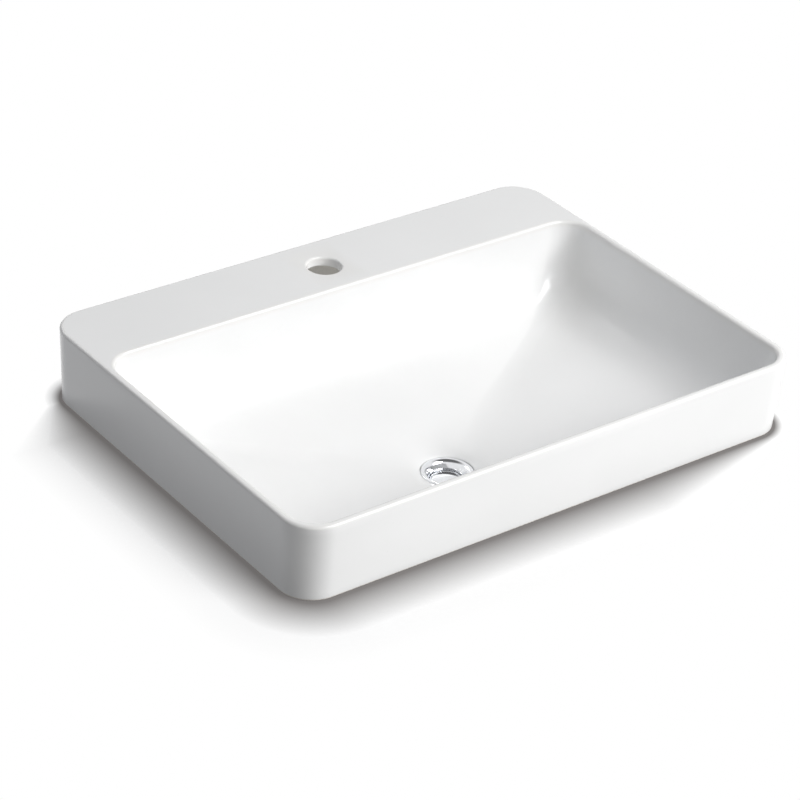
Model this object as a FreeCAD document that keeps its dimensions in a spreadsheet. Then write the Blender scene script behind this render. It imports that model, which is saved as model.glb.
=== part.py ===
import FreeCAD, Part
import math
import os
import re
import Sketcher
from FreeCAD import Vector

# Countertop basin: one ceramic casting with a tap deck, and the sprung waste fitted in its drain hole.
# Millimetres. X runs along the basin, -Y is the front, +Z is up.
# The origin is the middle of the footprint, on the counter that the apron stands on.

SIZES = (
    ("basin_length", 590, "length of the basin at the rim"),
    ("basin_width", 433, "front to back size at the rim"),
    ("apron_height", 80.5, "rim above the counter"),
    ("apron_taper", 2.8, "how far each side draws in from rim to counter"),
    ("apron_wall", 9, "thickness of the apron"),
    ("corner_radius", 36, "plan radius of the outer corners at the rim"),
    ("foot_round", 2.5, "edge radius round the foot of the apron"),
    ("rim_width", 8, "width of the front and side rims"),
    ("rim_round", 3.4, "edge radius of the rim"),
    ("deck_width", 92, "tap deck from the back edge to the bowl"),
    ("deck_thickness", 11, "thickness of the tap deck"),
    ("tap_hole_diameter", 35, "hole for a single tap"),
    ("tap_hole_setback", 48, "tap hole centre from the back edge"),
    ("tap_hole_round", 2.4, "edge radius of the tap hole"),
    ("drain_setback", 267, "drain centre from the back edge"),
    ("bowl_depth", 125, "rim down to the top of the waste flange"),
    ("bowl_wall", 10, "thickness of the bowl"),
    ("wall_lean", 4, "how far the back wall leans in over its straight height"),
    ("bowl_round", 50, "radius between the back wall and the floor"),
    ("floor_fall", 17, "slope of the floor behind the drain in degrees"),
    ("valley_round", 13, "radius of the valleys between the slopes of the floor, at the foot of the walls"),
    ("dish_diameter", 76, "round dish about the drain"),
    ("dish_depth", 5, "depth of the dish down to the waste flange"),
    ("boss_diameter", 84, "thick ring under the drain hole"),
    ("boss_thickness", 24, "ceramic clamped by the waste"),
    ("drain_hole_diameter", 46, "hole in the ceramic"),
    ("flange_diameter", 53, "chrome flange of the waste"),
    ("flange_thickness", 2.2, "rim of the flange"),
    ("flange_gap", 0.8, "gap round the flange in its recess"),
    ("flange_seal_thickness", 1.5, "soft ring under the flange"),
    ("flange_round", 1.2, "edge radius of the flange"),
    ("mouth_diameter", 43.5, "top of the funnel in the flange"),
    ("funnel_depth", 7, "flange top down to the throat"),
    ("throat_diameter", 34.8, "bore of the waste"),
    ("neck_diameter", 44.4, "plain neck under the flange"),
    ("neck_length", 10, "length of the plain neck"),
    ("barrel_diameter", 41.9, "threaded barrel of the waste"),
    ("barrel_length", 72, "underside of the flange to the end of the barrel"),
    ("thread_gap", 0.15, "radial gap in a screwed joint"),
    ("gasket_diameter", 66, "tapered gasket under the boss"),
    ("gasket_thickness", 5, "gasket below the boss"),
    ("gasket_spigot", 3, "height of the gasket taper inside the drain hole"),
    ("washer_diameter", 62, "slip washer"),
    ("washer_thickness", 2, "slip washer thickness"),
    ("back_nut_flats", 56, "back nut across flats"),
    ("back_nut_height", 9, "back nut height"),
    ("nut_chamfer", 1.2, "chamfer on the nuts"),
    ("tail_nut_flats", 48, "tail nut across flats"),
    ("tail_nut_grip", 10, "tail nut above the end of the barrel"),
    ("tail_nut_lip", 3, "floor of the tail nut"),
    ("tail_diameter", 32, "tail pipe outside"),
    ("tail_wall", 1.2, "tail pipe wall"),
    ("tail_length", 120, "tail pipe below its collar"),
    ("tail_collar_diameter", 40, "collar at the top of the tail pipe"),
    ("tail_collar_height", 2, "collar height"),
    ("tail_seal_thickness", 2.5, "flat seal above the collar"),
    ("pipe_gap", 0.3, "radial gap between the tail pipe and its nut"),
    ("waist_depth", 0.5, "waist of the tail pipe under its collar"),
    ("waist_show", 2, "length of that waist below the tail nut"),
    ("hub_diameter", 17, "hub of the spider in the barrel"),
    ("hub_bore", 10, "screwed bore of the hub"),
    ("hub_height", 8, "spider height"),
    ("hub_level", 2, "spider above the end of the barrel"),
    ("arm_width", 3, "width of each spider arm"),
    ("sleeve_diameter", 18, "outside of the click cartridge"),
    ("collar_gap", 1, "top of the cartridge to the lock nut of the stopper when shut"),
    ("sleeve_bore", 13, "bore of the cartridge"),
    ("sleeve_floor", 2.5, "floor of the cartridge"),
    ("collar_diameter", 15, "screwed collar that closes the cartridge"),
    ("collar_height", 4, "height of that collar"),
    ("plunger_diameter", 8, "plunger shaft"),
    ("plunger_head_height", 4, "plunger head"),
    ("running_gap", 0.1, "radial gap of the sliding and turning fits"),
    ("head_gap", 0.3, "radial gap round the plunger head and the rotor"),
    ("end_gap", 0.5, "gap left at the top of the stroke"),
    ("stroke", 10, "travel of the stopper from shut to open"),
    ("spigot_diameter", 5, "pin under the plunger that carries the rotor"),
    ("rotor_height", 3.5, "turning latch ring"),
    ("rotor_tooth", 1.2, "height of its teeth"),
    ("rotor_tooth_width", 2, "width of its teeth"),
    ("rotor_gap", 0.4, "gap between the teeth and the plunger head"),
    ("rotor_teeth", 6, "number of teeth"),
    ("spring_wire", 1, "wire of the return spring"),
    ("spring_diameter", 9.4, "mean diameter of the spring"),
    ("spring_turns", 7, "turns of the spring"),
    ("spring_gap", 0.2, "gap at each end of the spring"),
    ("tip_diameter", 6, "screwed tip of the plunger"),
    ("tip_grip", 5, "length of the tip inside the stopper"),
    ("stem_nut_flats", 10, "lock nut under the stopper"),
    ("stem_nut_height", 3, "lock nut height"),
    ("stem_nut_chamfer", 0.4, "chamfer on the lock nut"),
    ("cap_recess", 8.5, "stopper top below the flange when shut"),
    ("cap_diameter", 33.6, "stopper cap"),
    ("cap_top", 1.6, "thickness of the cap"),
    ("cap_skirt", 2.4, "skirt of the cap round the core"),
    ("cap_round", 1.4, "edge radius of the cap"),
    ("skirt_wall", 1, "wall of that skirt"),
    ("core_gap", 0.1, "radial gap between core and skirt"),
    ("seal_section", 3, "section of the stopper seal"),
    ("seal_gap", 0.3, "seal to throat when shut"),
    ("lip_height", 1.5, "lip of the core under the seal"),
)
NAMES = {name for name, value, meaning in SIZES}
SAME = 1e-4

doc = FreeCAD.newDocument("countertop_basin")
sheet = doc.addObject("Spreadsheet::Sheet", "Sizes")
for row, (name, value, meaning) in enumerate(SIZES, start=1):
    sheet.set(f"A{row}", meaning)
    sheet.set(f"B{row}", str(value))
    sheet.setAlias(f"B{row}", name)
doc.recompute()


def formula(text):
    """The text as a formula, with each size name pointing at its cell."""
    return re.sub(r"[a-z_]+", lambda word: "Sizes." + word[0] if word[0] in NAMES else word[0], text)


def bind(thing, path, text):
    """Ties one property to a formula of the sizes."""
    thing.setExpression(path, formula(text))


def new_body(label):
    """An empty body with the label that names its file."""
    body = doc.addObject("PartDesign::Body", label)
    body.Label = label
    return body


def new_sketch(body, name, plane, level="0", centre="0"):
    """A sketch on one of the body's own planes, raised to a level and shifted along its Y."""
    sketch = body.newObject("Sketcher::SketchObject", name)
    support = [feature for feature in body.Origin.OriginFeatures if feature.Role == plane][0]
    sketch.AttachmentSupport = [(support, "")]
    sketch.MapMode = "FlatFace"
    if level != "0":
        bind(sketch, ".AttachmentOffset.Base.z", level)
    if centre != "0":
        bind(sketch, ".AttachmentOffset.Base.y", centre)
    return sketch


def dimension(sketch, kind, *places, drawn, size):
    """One driving dimension of a sketch: first the value as drawn, then tied to a formula of the sizes."""
    index = sketch.addConstraint(Sketcher.Constraint(kind, *places, drawn))
    bind(sketch, f"Constraints[{index}]", size)


def circle(body, name, diameter, level="0", centre="0"):
    """A circle about the sketch origin."""
    sketch = new_sketch(body, name, "XY_Plane", level, centre)
    guess = 10
    sketch.addGeometry(Part.Circle(Vector(0, 0, 0), Vector(0, 0, 1), guess), False)
    sketch.addConstraint(Sketcher.Constraint("Coincident", 0, 3, -1, 1))
    dimension(sketch, "Diameter", 0, drawn=2 * guess, size=diameter)
    return sketch


def rounded_rectangle(body, name, level, centre, half, back, front, radius):
    """Four lines and four equal corner arcs, with the sketch origin inside."""
    sketch = new_sketch(body, name, "XY_Plane", level, centre)
    guess, bend = 100, 20
    flat = guess - bend
    corners = ((flat, flat), (-flat, flat), (-flat, -flat), (flat, -flat))
    sides = (
        ((guess, -flat), (guess, flat)),
        ((flat, guess), (-flat, guess)),
        ((-guess, flat), (-guess, -flat)),
        ((-flat, -guess), (flat, -guess)),
    )
    for start, end in sides:
        sketch.addGeometry(Part.LineSegment(Vector(*start, 0), Vector(*end, 0)), False)
    quarter = math.pi / 2
    for turn, (x, y) in enumerate(corners):
        round_corner = Part.Circle(Vector(x, y, 0), Vector(0, 0, 1), bend)
        arc = Part.ArcOfCircle(round_corner, turn * quarter, (turn + 1) * quarter)
        sketch.addGeometry(arc, False)
    for turn in range(4):
        sketch.addConstraint(Sketcher.Constraint("Tangent", turn, 2, 4 + turn, 1))
        sketch.addConstraint(Sketcher.Constraint("Tangent", 4 + turn, 2, (turn + 1) % 4, 1))
        sketch.addConstraint(Sketcher.Constraint("Horizontal" if turn % 2 else "Vertical", turn))
    for turn in range(1, 4):
        sketch.addConstraint(Sketcher.Constraint("Equal", 4, 4 + turn))
    dimension(sketch, "DistanceX", -1, 1, 0, 1, drawn=guess, size=half)
    dimension(sketch, "DistanceX", 2, 1, -1, 1, drawn=guess, size=half)
    dimension(sketch, "DistanceY", -1, 1, 1, 1, drawn=guess, size=back)
    dimension(sketch, "DistanceY", 3, 1, -1, 1, drawn=guess, size=front)
    dimension(sketch, "Radius", 4, drawn=bend, size=radius)
    return sketch


def hexagon(body, name, flats):
    """A hexagon about the sketch origin, by its width across flats."""
    sketch = new_sketch(body, name, "XY_Plane")
    guess = 10
    angles = [math.radians(60 * k) for k in range(6)]
    corners = [Vector(guess * math.cos(angle), guess * math.sin(angle), 0) for angle in angles]
    for turn in range(6):
        sketch.addGeometry(Part.LineSegment(corners[turn], corners[(turn + 1) % 6]), False)
    guide = sketch.addGeometry(Part.Circle(Vector(0, 0, 0), Vector(0, 0, 1), guess), True)
    sketch.addConstraint(Sketcher.Constraint("Coincident", guide, 3, -1, 1))
    for turn in range(6):
        sketch.addConstraint(Sketcher.Constraint("Coincident", turn, 2, (turn + 1) % 6, 1))
        sketch.addConstraint(Sketcher.Constraint("PointOnObject", turn, 1, guide))
    for turn in range(1, 6):
        sketch.addConstraint(Sketcher.Constraint("Equal", 0, turn))
    sketch.addConstraint(Sketcher.Constraint("PointOnObject", 0, 1, -1))
    dimension(sketch, "Diameter", guide, drawn=2 * guess, size=f"({flats}) / cos(30 deg)")
    return sketch


def strip(body, name, level, near, far, half):
    """A rectangle along the sketch's X axis, from a near to a far distance."""
    sketch = new_sketch(body, name, "XY_Plane", level)
    inner, outer, side = 5, 9, 2
    plan = ((inner, -side), (outer, -side), (outer, side), (inner, side))
    corners = [Vector(x, y, 0) for x, y in plan]
    for turn in range(4):
        sketch.addGeometry(Part.LineSegment(corners[turn], corners[(turn + 1) % 4]), False)
    for turn in range(4):
        sketch.addConstraint(Sketcher.Constraint("Coincident", turn, 2, (turn + 1) % 4, 1))
        sketch.addConstraint(Sketcher.Constraint("Vertical" if turn % 2 else "Horizontal", turn))
    dimension(sketch, "DistanceX", -1, 1, 0, 1, drawn=inner, size=near)
    dimension(sketch, "DistanceX", -1, 1, 0, 2, drawn=outer, size=far)
    dimension(sketch, "DistanceY", 0, 1, -1, 1, drawn=side, size=half)
    dimension(sketch, "DistanceY", -1, 1, 2, 1, drawn=side, size=half)
    return sketch


def pad(body, name, sketch, length):
    """Raises a sketch by a length."""
    feature = body.newObject("PartDesign::Pad", name)
    feature.Profile = sketch
    bind(feature, "Length", length)
    return feature


def pocket(body, name, sketch, depth):
    """Cuts a sketch down by a depth."""
    feature = body.newObject("PartDesign::Pocket", name)
    feature.Profile = sketch
    bind(feature, "Length", depth)
    return feature


def loft(body, name, kind, sections, ruled=False):
    """Skins a row of sections, adding or cutting."""
    feature = body.newObject("PartDesign::" + kind, name)
    feature.Profile = sections[0]
    feature.Sections = sections[1:]
    feature.Ruled = ruled
    return feature


def turn_profile(body, name, points):
    """Revolves a closed outline of (radius, height) points about the body's Z axis."""
    sketch = new_sketch(body, name + "_outline", "XZ_Plane")
    count, middle, reach = len(points), 50, 20
    angles = [2 * math.pi * k / count for k in range(count)]
    guesses = [Vector(middle + reach * math.cos(a), middle + reach * math.sin(a), 0) for a in angles]
    for k in range(count):
        sketch.addGeometry(Part.LineSegment(guesses[k], guesses[(k + 1) % count]), False)
    for k in range(count):
        sketch.addConstraint(Sketcher.Constraint("Coincident", k, 2, (k + 1) % count, 1))
    for k, (radius, height) in enumerate(points):
        if radius == "0":
            sketch.addConstraint(Sketcher.Constraint("PointOnObject", k, 1, -2))
        else:
            dimension(sketch, "DistanceX", -1, 1, k, 1, drawn=guesses[k].x, size=radius)
        if height == "0":
            sketch.addConstraint(Sketcher.Constraint("PointOnObject", k, 1, -1))
        else:
            dimension(sketch, "DistanceY", -1, 1, k, 1, drawn=guesses[k].y, size=height)
    feature = body.newObject("PartDesign::Revolution", name)
    feature.Profile = sketch
    feature.ReferenceAxis = (sketch, ["V_Axis"])
    feature.Angle = 360
    return feature


def polar(body, name, feature, sketch, count):
    """Repeats a feature evenly about the sketch's normal."""
    pattern = body.newObject("PartDesign::PolarPattern", name)
    pattern.Originals = [feature]
    pattern.Axis = (sketch, ["N_Axis"])
    pattern.Angle = 360
    pattern.Occurrences = count
    body.Tip = pattern
    return pattern


def dress(body, name, kind, size, chosen):
    """Fillets or chamfers the edges of the finished shape that pass a test."""
    doc.recompute()
    base = body.Tip
    edges = [f"Edge{k}" for k, edge in enumerate(base.Shape.Edges, start=1) if chosen(edge)]
    feature = body.newObject("PartDesign::" + kind, name)
    feature.Base = (base, edges)
    bind(feature, "Radius" if kind == "Fillet" else "Size", size)
    return feature


def at_level(edge, level):
    """Whether an edge lies flat at one height of its body."""
    box = edge.BoundBox
    return abs(box.ZMin - level) < SAME and abs(box.ZMax - level) < SAME


def ring(edge, diameter, level):
    """Whether an edge is part of a level circle of one diameter."""
    if not at_level(edge, level) or not isinstance(edge.Curve, Part.Circle):
        return False
    return abs(edge.Curve.Radius - diameter / 2) < SAME


# Levels shared by the pieces of the waste, as formulas of the sizes.
DRAIN_Y = "(basin_width / 2 - drain_setback)"
FLANGE_TOP = "(apron_height - bowl_depth)"
FLANGE_BASE = f"({FLANGE_TOP} - flange_thickness)"
SEAT = f"({FLANGE_BASE} - flange_seal_thickness)"
BOSS_BASE = f"({SEAT} - boss_thickness)"
BARREL_END = f"({FLANGE_BASE} - barrel_length)"
CAP_TOP = f"({FLANGE_TOP} - cap_recess)"
CORE_TOP = f"({CAP_TOP} - cap_top)"
SEAL_CENTRE = f"({CORE_TOP} - cap_skirt - core_gap - seal_section / 2)"
CORE_BASE = f"({SEAL_CENTRE} - seal_section / 2 - core_gap - lip_height)"
SEAL_RADIUS = "(throat_diameter / 2 - seal_gap - seal_section / 2)"
RECESS = "(flange_diameter + 2 * flange_gap)"
TAIL_COLLAR_BASE = f"({BARREL_END} - tail_seal_thickness - tail_collar_height)"
SHOULDER = f"({CORE_BASE} - stem_nut_height)"
SLEEVE_BASE = f"({BARREL_END} + hub_level + hub_height)"
SLEEVE_LENGTH = f"({SHOULDER} - collar_gap - {SLEEVE_BASE})"
COLLAR_BASE = f"({SLEEVE_BASE} + {SLEEVE_LENGTH} - collar_height)"
HEAD_BASE = f"({COLLAR_BASE} - stroke - end_gap - plunger_head_height)"
ROTOR_BASE = f"({HEAD_BASE} - rotor_gap - rotor_tooth - rotor_height)"
SPRING_BASE = f"({SLEEVE_BASE} + sleeve_floor)"

# The bowl shrinks evenly about the drain as it goes down, so its level lines are like rectangles.
# Behind the drain its outline is a straight wall, an arc and a straight floor that ends at the dish.
BACK_REACH = "(drain_setback - deck_width)"
FRONT_REACH = "(basin_width - drain_setback - rim_width)"
SIDE_REACH = "(basin_length / 2 - rim_width)"
OPENING_RADIUS = "(corner_radius - rim_width)"
ARC_REACH = "(bowl_round * (1 - sin(floor_fall * 1 deg)))"
FLOOR_RUN = f"({BACK_REACH} - dish_diameter / 2 - wall_lean - {ARC_REACH})"
FLOOR_DROP = f"({FLOOR_RUN} * tan(floor_fall * 1 deg))"
DISH_LEVEL = "(bowl_depth - dish_depth)"
WALL_DROP = f"({DISH_LEVEL} - {FLOOR_DROP} - bowl_round * cos(floor_fall * 1 deg))"
ARC_STEPS = 5
FLOOR_STEPS = 3
MERGE = 2
CIRCLE_FLAT = 0.5
ARM_COUNT = 4


def stand(thing, level):
    """Puts a piece of the waste on the drain axis, with its own base at a level."""
    bind(thing, ".Placement.Base.y", DRAIN_Y)
    bind(thing, ".Placement.Base.z", level)


def bowl_outline():
    """Rows of (inset from the back rim, depth, lean of the surface in degrees, corner radius)."""
    rows = [("0", "0", "0", OPENING_RADIUS), ("wall_lean", WALL_DROP, "0", OPENING_RADIUS)]
    for step in range(1, ARC_STEPS + 1):
        lean = f"((90 - floor_fall) * {step} / {ARC_STEPS})"
        inset = f"(wall_lean + bowl_round * (1 - cos({lean} * 1 deg)))"
        depth = f"({WALL_DROP} + bowl_round * sin({lean} * 1 deg))"
        share = f"{step ** 2} / {ARC_STEPS ** 2}"
        radius = f"({OPENING_RADIUS} + (valley_round - {OPENING_RADIUS}) * {share})"
        rows.append((inset, depth, lean, radius))
    for step in range(1, FLOOR_STEPS):
        inset = f"(wall_lean + {ARC_REACH} + {FLOOR_RUN} * {step} / {FLOOR_STEPS})"
        depth = f"({DISH_LEVEL} - {FLOOR_DROP} * {FLOOR_STEPS - step} / {FLOOR_STEPS})"
        share = f"{step ** 2} / {FLOOR_STEPS ** 2}"
        radius = f"(valley_round + (dish_diameter / 2 - valley_round) * {share})"
        rows.append((inset, depth, "(90 - floor_fall)", radius))
    return rows


def bowl_section(body, name, row, grow="0", grow_back="0", sink="0"):
    """One level line of the bowl, grown outward and lowered for the underside."""
    inset, depth, lean, radius = row
    shrink = f"(1 - {inset} / {BACK_REACH})"
    return rounded_rectangle(
        body, name, f"apron_height - {depth} - {sink}", DRAIN_Y,
        f"{SIDE_REACH} * {shrink} + {grow}", f"{BACK_REACH} * {shrink} + {grow_back}",
        f"{FRONT_REACH} * {shrink} + {grow}", f"{radius} + {grow}")


def round_section(body, name, diameter, level):
    """A section that is all but a circle, with the same eight edges as the others."""
    reach = f"{diameter} / 2"
    return rounded_rectangle(body, name, level, DRAIN_Y, reach, reach, reach, f"{reach} - {CIRCLE_FLAT}")


def section_rows(body, prefix, rows, wall):
    """The level lines of the bowl, or of its underside when a wall is given."""
    sections = []
    for step, row in enumerate(rows):
        lean = row[2]
        if wall and lean == "0":
            section = bowl_section(body, f"{prefix}{step}", row, "rim_width / 2", wall)
        elif wall:
            grow = f"{wall} * cos({lean} * 1 deg)"
            section = bowl_section(body, f"{prefix}{step}", row, grow, grow, f"{wall} * sin({lean} * 1 deg)")
        else:
            section = bowl_section(body, f"{prefix}{step}", row)
        sections.append(section)
    return sections


def make_basin():
    """The ceramic: apron, hollow underside, bowl, drain boss, tap hole and rounded edges."""
    body = new_body("basin_body")
    half, side = "basin_length / 2", "basin_width / 2"

    def outline(name, level, inset):
        return rounded_rectangle(body, name, level, "0", f"{half} - {inset}", f"{side} - {inset}",
                                 f"{side} - {inset}", f"corner_radius - {inset}")

    foot = outline("foot", "0", "apron_taper")
    rim = outline("rim", "apron_height", "0")
    loft(body, "apron", "AdditiveLoft", [foot, rim], ruled=True)
    low = outline("hollow_low", "0", "(apron_taper + apron_wall)")
    high = outline("hollow_high", "apron_height - deck_thickness", "apron_wall")
    loft(body, "hollow", "SubtractiveLoft", [low, high], ruled=True)
    dress(body, "foot_edges", "Fillet", "foot_round", lambda edge: at_level(edge, 0))

    rows = bowl_outline()
    hidden = [("0", f"(deck_thickness - {MERGE})", "0", OPENING_RADIUS)] + rows[1:]
    shell = section_rows(body, "shell_section", hidden, "bowl_wall")
    shell.append(round_section(body, "shell_end", "boss_diameter", f"{SEAT} - bowl_wall"))
    loft(body, "bowl_shell", "AdditiveLoft", shell, ruled=True)
    boss = circle(body, "boss_circle", "boss_diameter", BOSS_BASE, DRAIN_Y)
    pad(body, "boss", boss, "boss_thickness")

    cavity = section_rows(body, "bowl_section", rows, "")
    cavity.append(round_section(body, "dish_section", "dish_diameter", f"apron_height - {DISH_LEVEL}"))
    cavity.append(round_section(body, "recess_section", f"({RECESS})", FLANGE_TOP))
    loft(body, "bowl_walls", "SubtractiveLoft", cavity[:2], ruled=True)
    loft(body, "bowl_rounding", "SubtractiveLoft", cavity[1:ARC_STEPS + 2])
    loft(body, "bowl_floor", "SubtractiveLoft", cavity[ARC_STEPS + 1:], ruled=True)
    recess = circle(body, "recess_circle", RECESS, FLANGE_TOP, DRAIN_Y)
    pocket(body, "flange_recess", recess, "flange_thickness + flange_seal_thickness")
    drain = circle(body, "drain_circle", "drain_hole_diameter", SEAT, DRAIN_Y)
    pocket(body, "drain_hole", drain, "boss_thickness")
    tap_y = "basin_width / 2 - tap_hole_setback"
    tap = circle(body, "tap_circle", "tap_hole_diameter", "apron_height", tap_y)
    pocket(body, "tap_hole", tap, "deck_thickness")

    def on_rim(edge):
        return at_level(edge, sheet.apron_height) and not on_tap_hole(edge)

    def on_tap_hole(edge):
        faces = (sheet.apron_height, sheet.apron_height - sheet.deck_thickness)
        return any(ring(edge, sheet.tap_hole_diameter, level) for level in faces)

    dress(body, "rim_edges", "Fillet", "rim_round", on_rim)
    dress(body, "tap_hole_edges", "Fillet", "tap_hole_round", on_tap_hole)
    return body


def make_waste_body():
    """Chrome flange, funnel, neck and threaded barrel, with the spider that carries the click cartridge."""
    body = new_body("waste_body")
    top = "barrel_length + flange_thickness"
    turn_profile(body, "barrel", [
        ("throat_diameter / 2", "0"),
        ("barrel_diameter / 2", "0"),
        ("barrel_diameter / 2", "barrel_length - neck_length"),
        ("neck_diameter / 2", "barrel_length - neck_length"),
        ("neck_diameter / 2", "barrel_length"),
        ("flange_diameter / 2", "barrel_length"),
        ("flange_diameter / 2", top),
        ("mouth_diameter / 2", top),
        ("throat_diameter / 2", f"{top} - funnel_depth"),
    ])
    arm_sketch = strip(body, "arm_strip", "hub_level", "hub_bore / 2 + thread_gap",
                       "(throat_diameter + barrel_diameter) / 4", "arm_width / 2")
    arm = pad(body, "arm", arm_sketch, "hub_height")
    polar(body, "arms", arm, arm_sketch, ARM_COUNT)
    pad(body, "hub", circle(body, "hub_circle", "hub_diameter", "hub_level"), "hub_height")
    bore = circle(body, "hub_bore_circle", "hub_bore", "hub_level + hub_height")
    pocket(body, "hub_hole", bore, "hub_height")

    def lip(edge):
        level = sheet.barrel_length + sheet.flange_thickness
        return any(ring(edge, size, level) for size in (sheet.flange_diameter, sheet.mouth_diameter))

    dress(body, "flange_edges", "Fillet", "flange_round", lip)
    stand(body, BARREL_END)
    return body


def make_ring(label, base, bore, outside, height):
    """A plain flat ring on the drain axis."""
    body = new_body(label)
    turn_profile(body, label + "_ring", [(bore, "0"), (outside, "0"), (outside, height), (bore, height)])
    stand(body, base)
    return body


def make_gasket():
    """Soft gasket under the boss, whose taper centres the barrel in the drain hole."""
    body = new_body("tapered_gasket")
    bore, taper = "barrel_diameter / 2 + thread_gap", "drain_hole_diameter / 2 - pipe_gap"
    turn_profile(body, "gasket", [
        (bore, "0"),
        ("gasket_diameter / 2", "0"),
        ("gasket_diameter / 2", "gasket_thickness"),
        (taper, "gasket_thickness"),
        (f"({bore} + {taper}) / 2", "gasket_thickness + gasket_spigot"),
        (bore, "gasket_thickness + gasket_spigot"),
    ])
    stand(body, f"{BOSS_BASE} - gasket_thickness")
    return body


def make_nut(label, base, flats, height, bore, lip="", lip_bore="", chamfer="nut_chamfer"):
    """Hexagon nut with chamfered rims, and a floor with a smaller hole where a lip is given."""
    body = new_body(label)
    pad(body, label + "_hexagon", hexagon(body, label + "_outline", flats), height)
    doc.recompute()
    tall = body.Tip.Length.Value
    dress(body, label + "_rims", "Chamfer", chamfer, lambda edge: at_level(edge, 0) or at_level(edge, tall))
    mouth = circle(body, label + "_bore", bore, height)
    pocket(body, label + "_thread", mouth, f"{height} - {lip}" if lip else height)
    if lip:
        hole = circle(body, label + "_hole_circle", lip_bore, lip)
        pocket(body, label + "_hole", hole, lip)
    stand(body, base)
    return body


def make_tail_pipe():
    """Chrome tail pipe, hung by its collar inside the tail nut, with a shallow waist under the collar."""
    body = new_body("tail_pipe")
    bore, top = "tail_diameter / 2 - tail_wall", "tail_length + tail_collar_height"
    waist, shoulder = "tail_diameter / 2 - waist_depth", "tail_length - tail_nut_lip - waist_show"
    turn_profile(body, "pipe", [
        (bore, "0"),
        ("tail_diameter / 2", "0"),
        ("tail_diameter / 2", shoulder),
        (waist, shoulder),
        (waist, "tail_length"),
        ("tail_collar_diameter / 2", "tail_length"),
        ("tail_collar_diameter / 2", top),
        (bore, top),
    ])
    stand(body, f"{TAIL_COLLAR_BASE} - tail_length")
    return body


def make_sleeve():
    """Fixed outer sleeve of the click cartridge, screwed into the spider by its foot."""
    body = new_body("cartridge_sleeve")
    foot, top = "hub_bore / 2 - thread_gap", f"hub_height + {SLEEVE_LENGTH}"
    turn_profile(body, "sleeve", [
        ("0", "0"),
        (foot, "0"),
        (foot, "hub_height"),
        ("sleeve_diameter / 2", "hub_height"),
        ("sleeve_diameter / 2", top),
        ("collar_diameter / 2", top),
        ("collar_diameter / 2", f"{top} - collar_height"),
        ("sleeve_bore / 2", f"{top} - collar_height"),
        ("sleeve_bore / 2", "hub_height + sleeve_floor"),
        ("0", "hub_height + sleeve_floor"),
    ])
    stand(body, f"{SLEEVE_BASE} - hub_height")
    return body


def make_plunger():
    """Sliding plunger: spigot for the rotor, head, shaft through the collar, and screwed tip."""
    body = new_body("plunger")
    head = "rotor_height + rotor_tooth + rotor_gap"
    neck = f"{head} + plunger_head_height"
    shoulder = f"{SHOULDER} - {ROTOR_BASE}"
    tip = f"{shoulder} + stem_nut_height + tip_grip"
    turn_profile(body, "shaft", [
        ("0", "0"),
        ("spigot_diameter / 2", "0"),
        ("spigot_diameter / 2", head),
        ("sleeve_bore / 2 - head_gap", head),
        ("sleeve_bore / 2 - head_gap", neck),
        ("plunger_diameter / 2", neck),
        ("plunger_diameter / 2", shoulder),
        ("tip_diameter / 2", shoulder),
        ("tip_diameter / 2", tip),
        ("0", tip),
    ])
    stand(body, ROTOR_BASE)
    return body


def make_rotor():
    """Latch ring that turns one step each time the stopper is pressed."""
    body = new_body("latch_rotor")
    bore, outside = "spigot_diameter / 2 + running_gap", "sleeve_bore / 2 - head_gap"
    top = "rotor_height"
    turn_profile(body, "rotor", [(bore, "0"), (outside, "0"), (outside, top), (bore, top)])
    tooth_sketch = strip(body, "tooth_strip", "rotor_height", f"({bore} + {outside}) / 2",
                         f"{outside} - running_gap", "rotor_tooth_width / 2")
    tooth = pad(body, "tooth", tooth_sketch, "rotor_tooth")
    polar(body, "teeth", tooth, tooth_sketch, int(sheet.rotor_teeth))
    stand(body, ROTOR_BASE)
    return body


def biarc(start, start_way, end, end_way):
    """Two arcs that join two points and keep the direction given at each."""
    span, ways = end - start, start_way + end_way
    spread = 2 * (1 - start_way.dot(end_way))
    reach = (-span.dot(ways) + math.sqrt(span.dot(ways) ** 2 + spread * span.dot(span))) / spread
    first, second = start + start_way * reach, end - end_way * reach
    joint = (first + second) * 0.5

    def arc(begin, corner, finish):
        weight = (finish - begin).Length / (2 * reach)
        middle = (begin + corner * (2 * weight) + finish) * (1 / (2 + 2 * weight))
        return Part.Arc(begin, middle, finish).toShape()

    return [arc(start, first, joint), arc(joint, second, end)]


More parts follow.
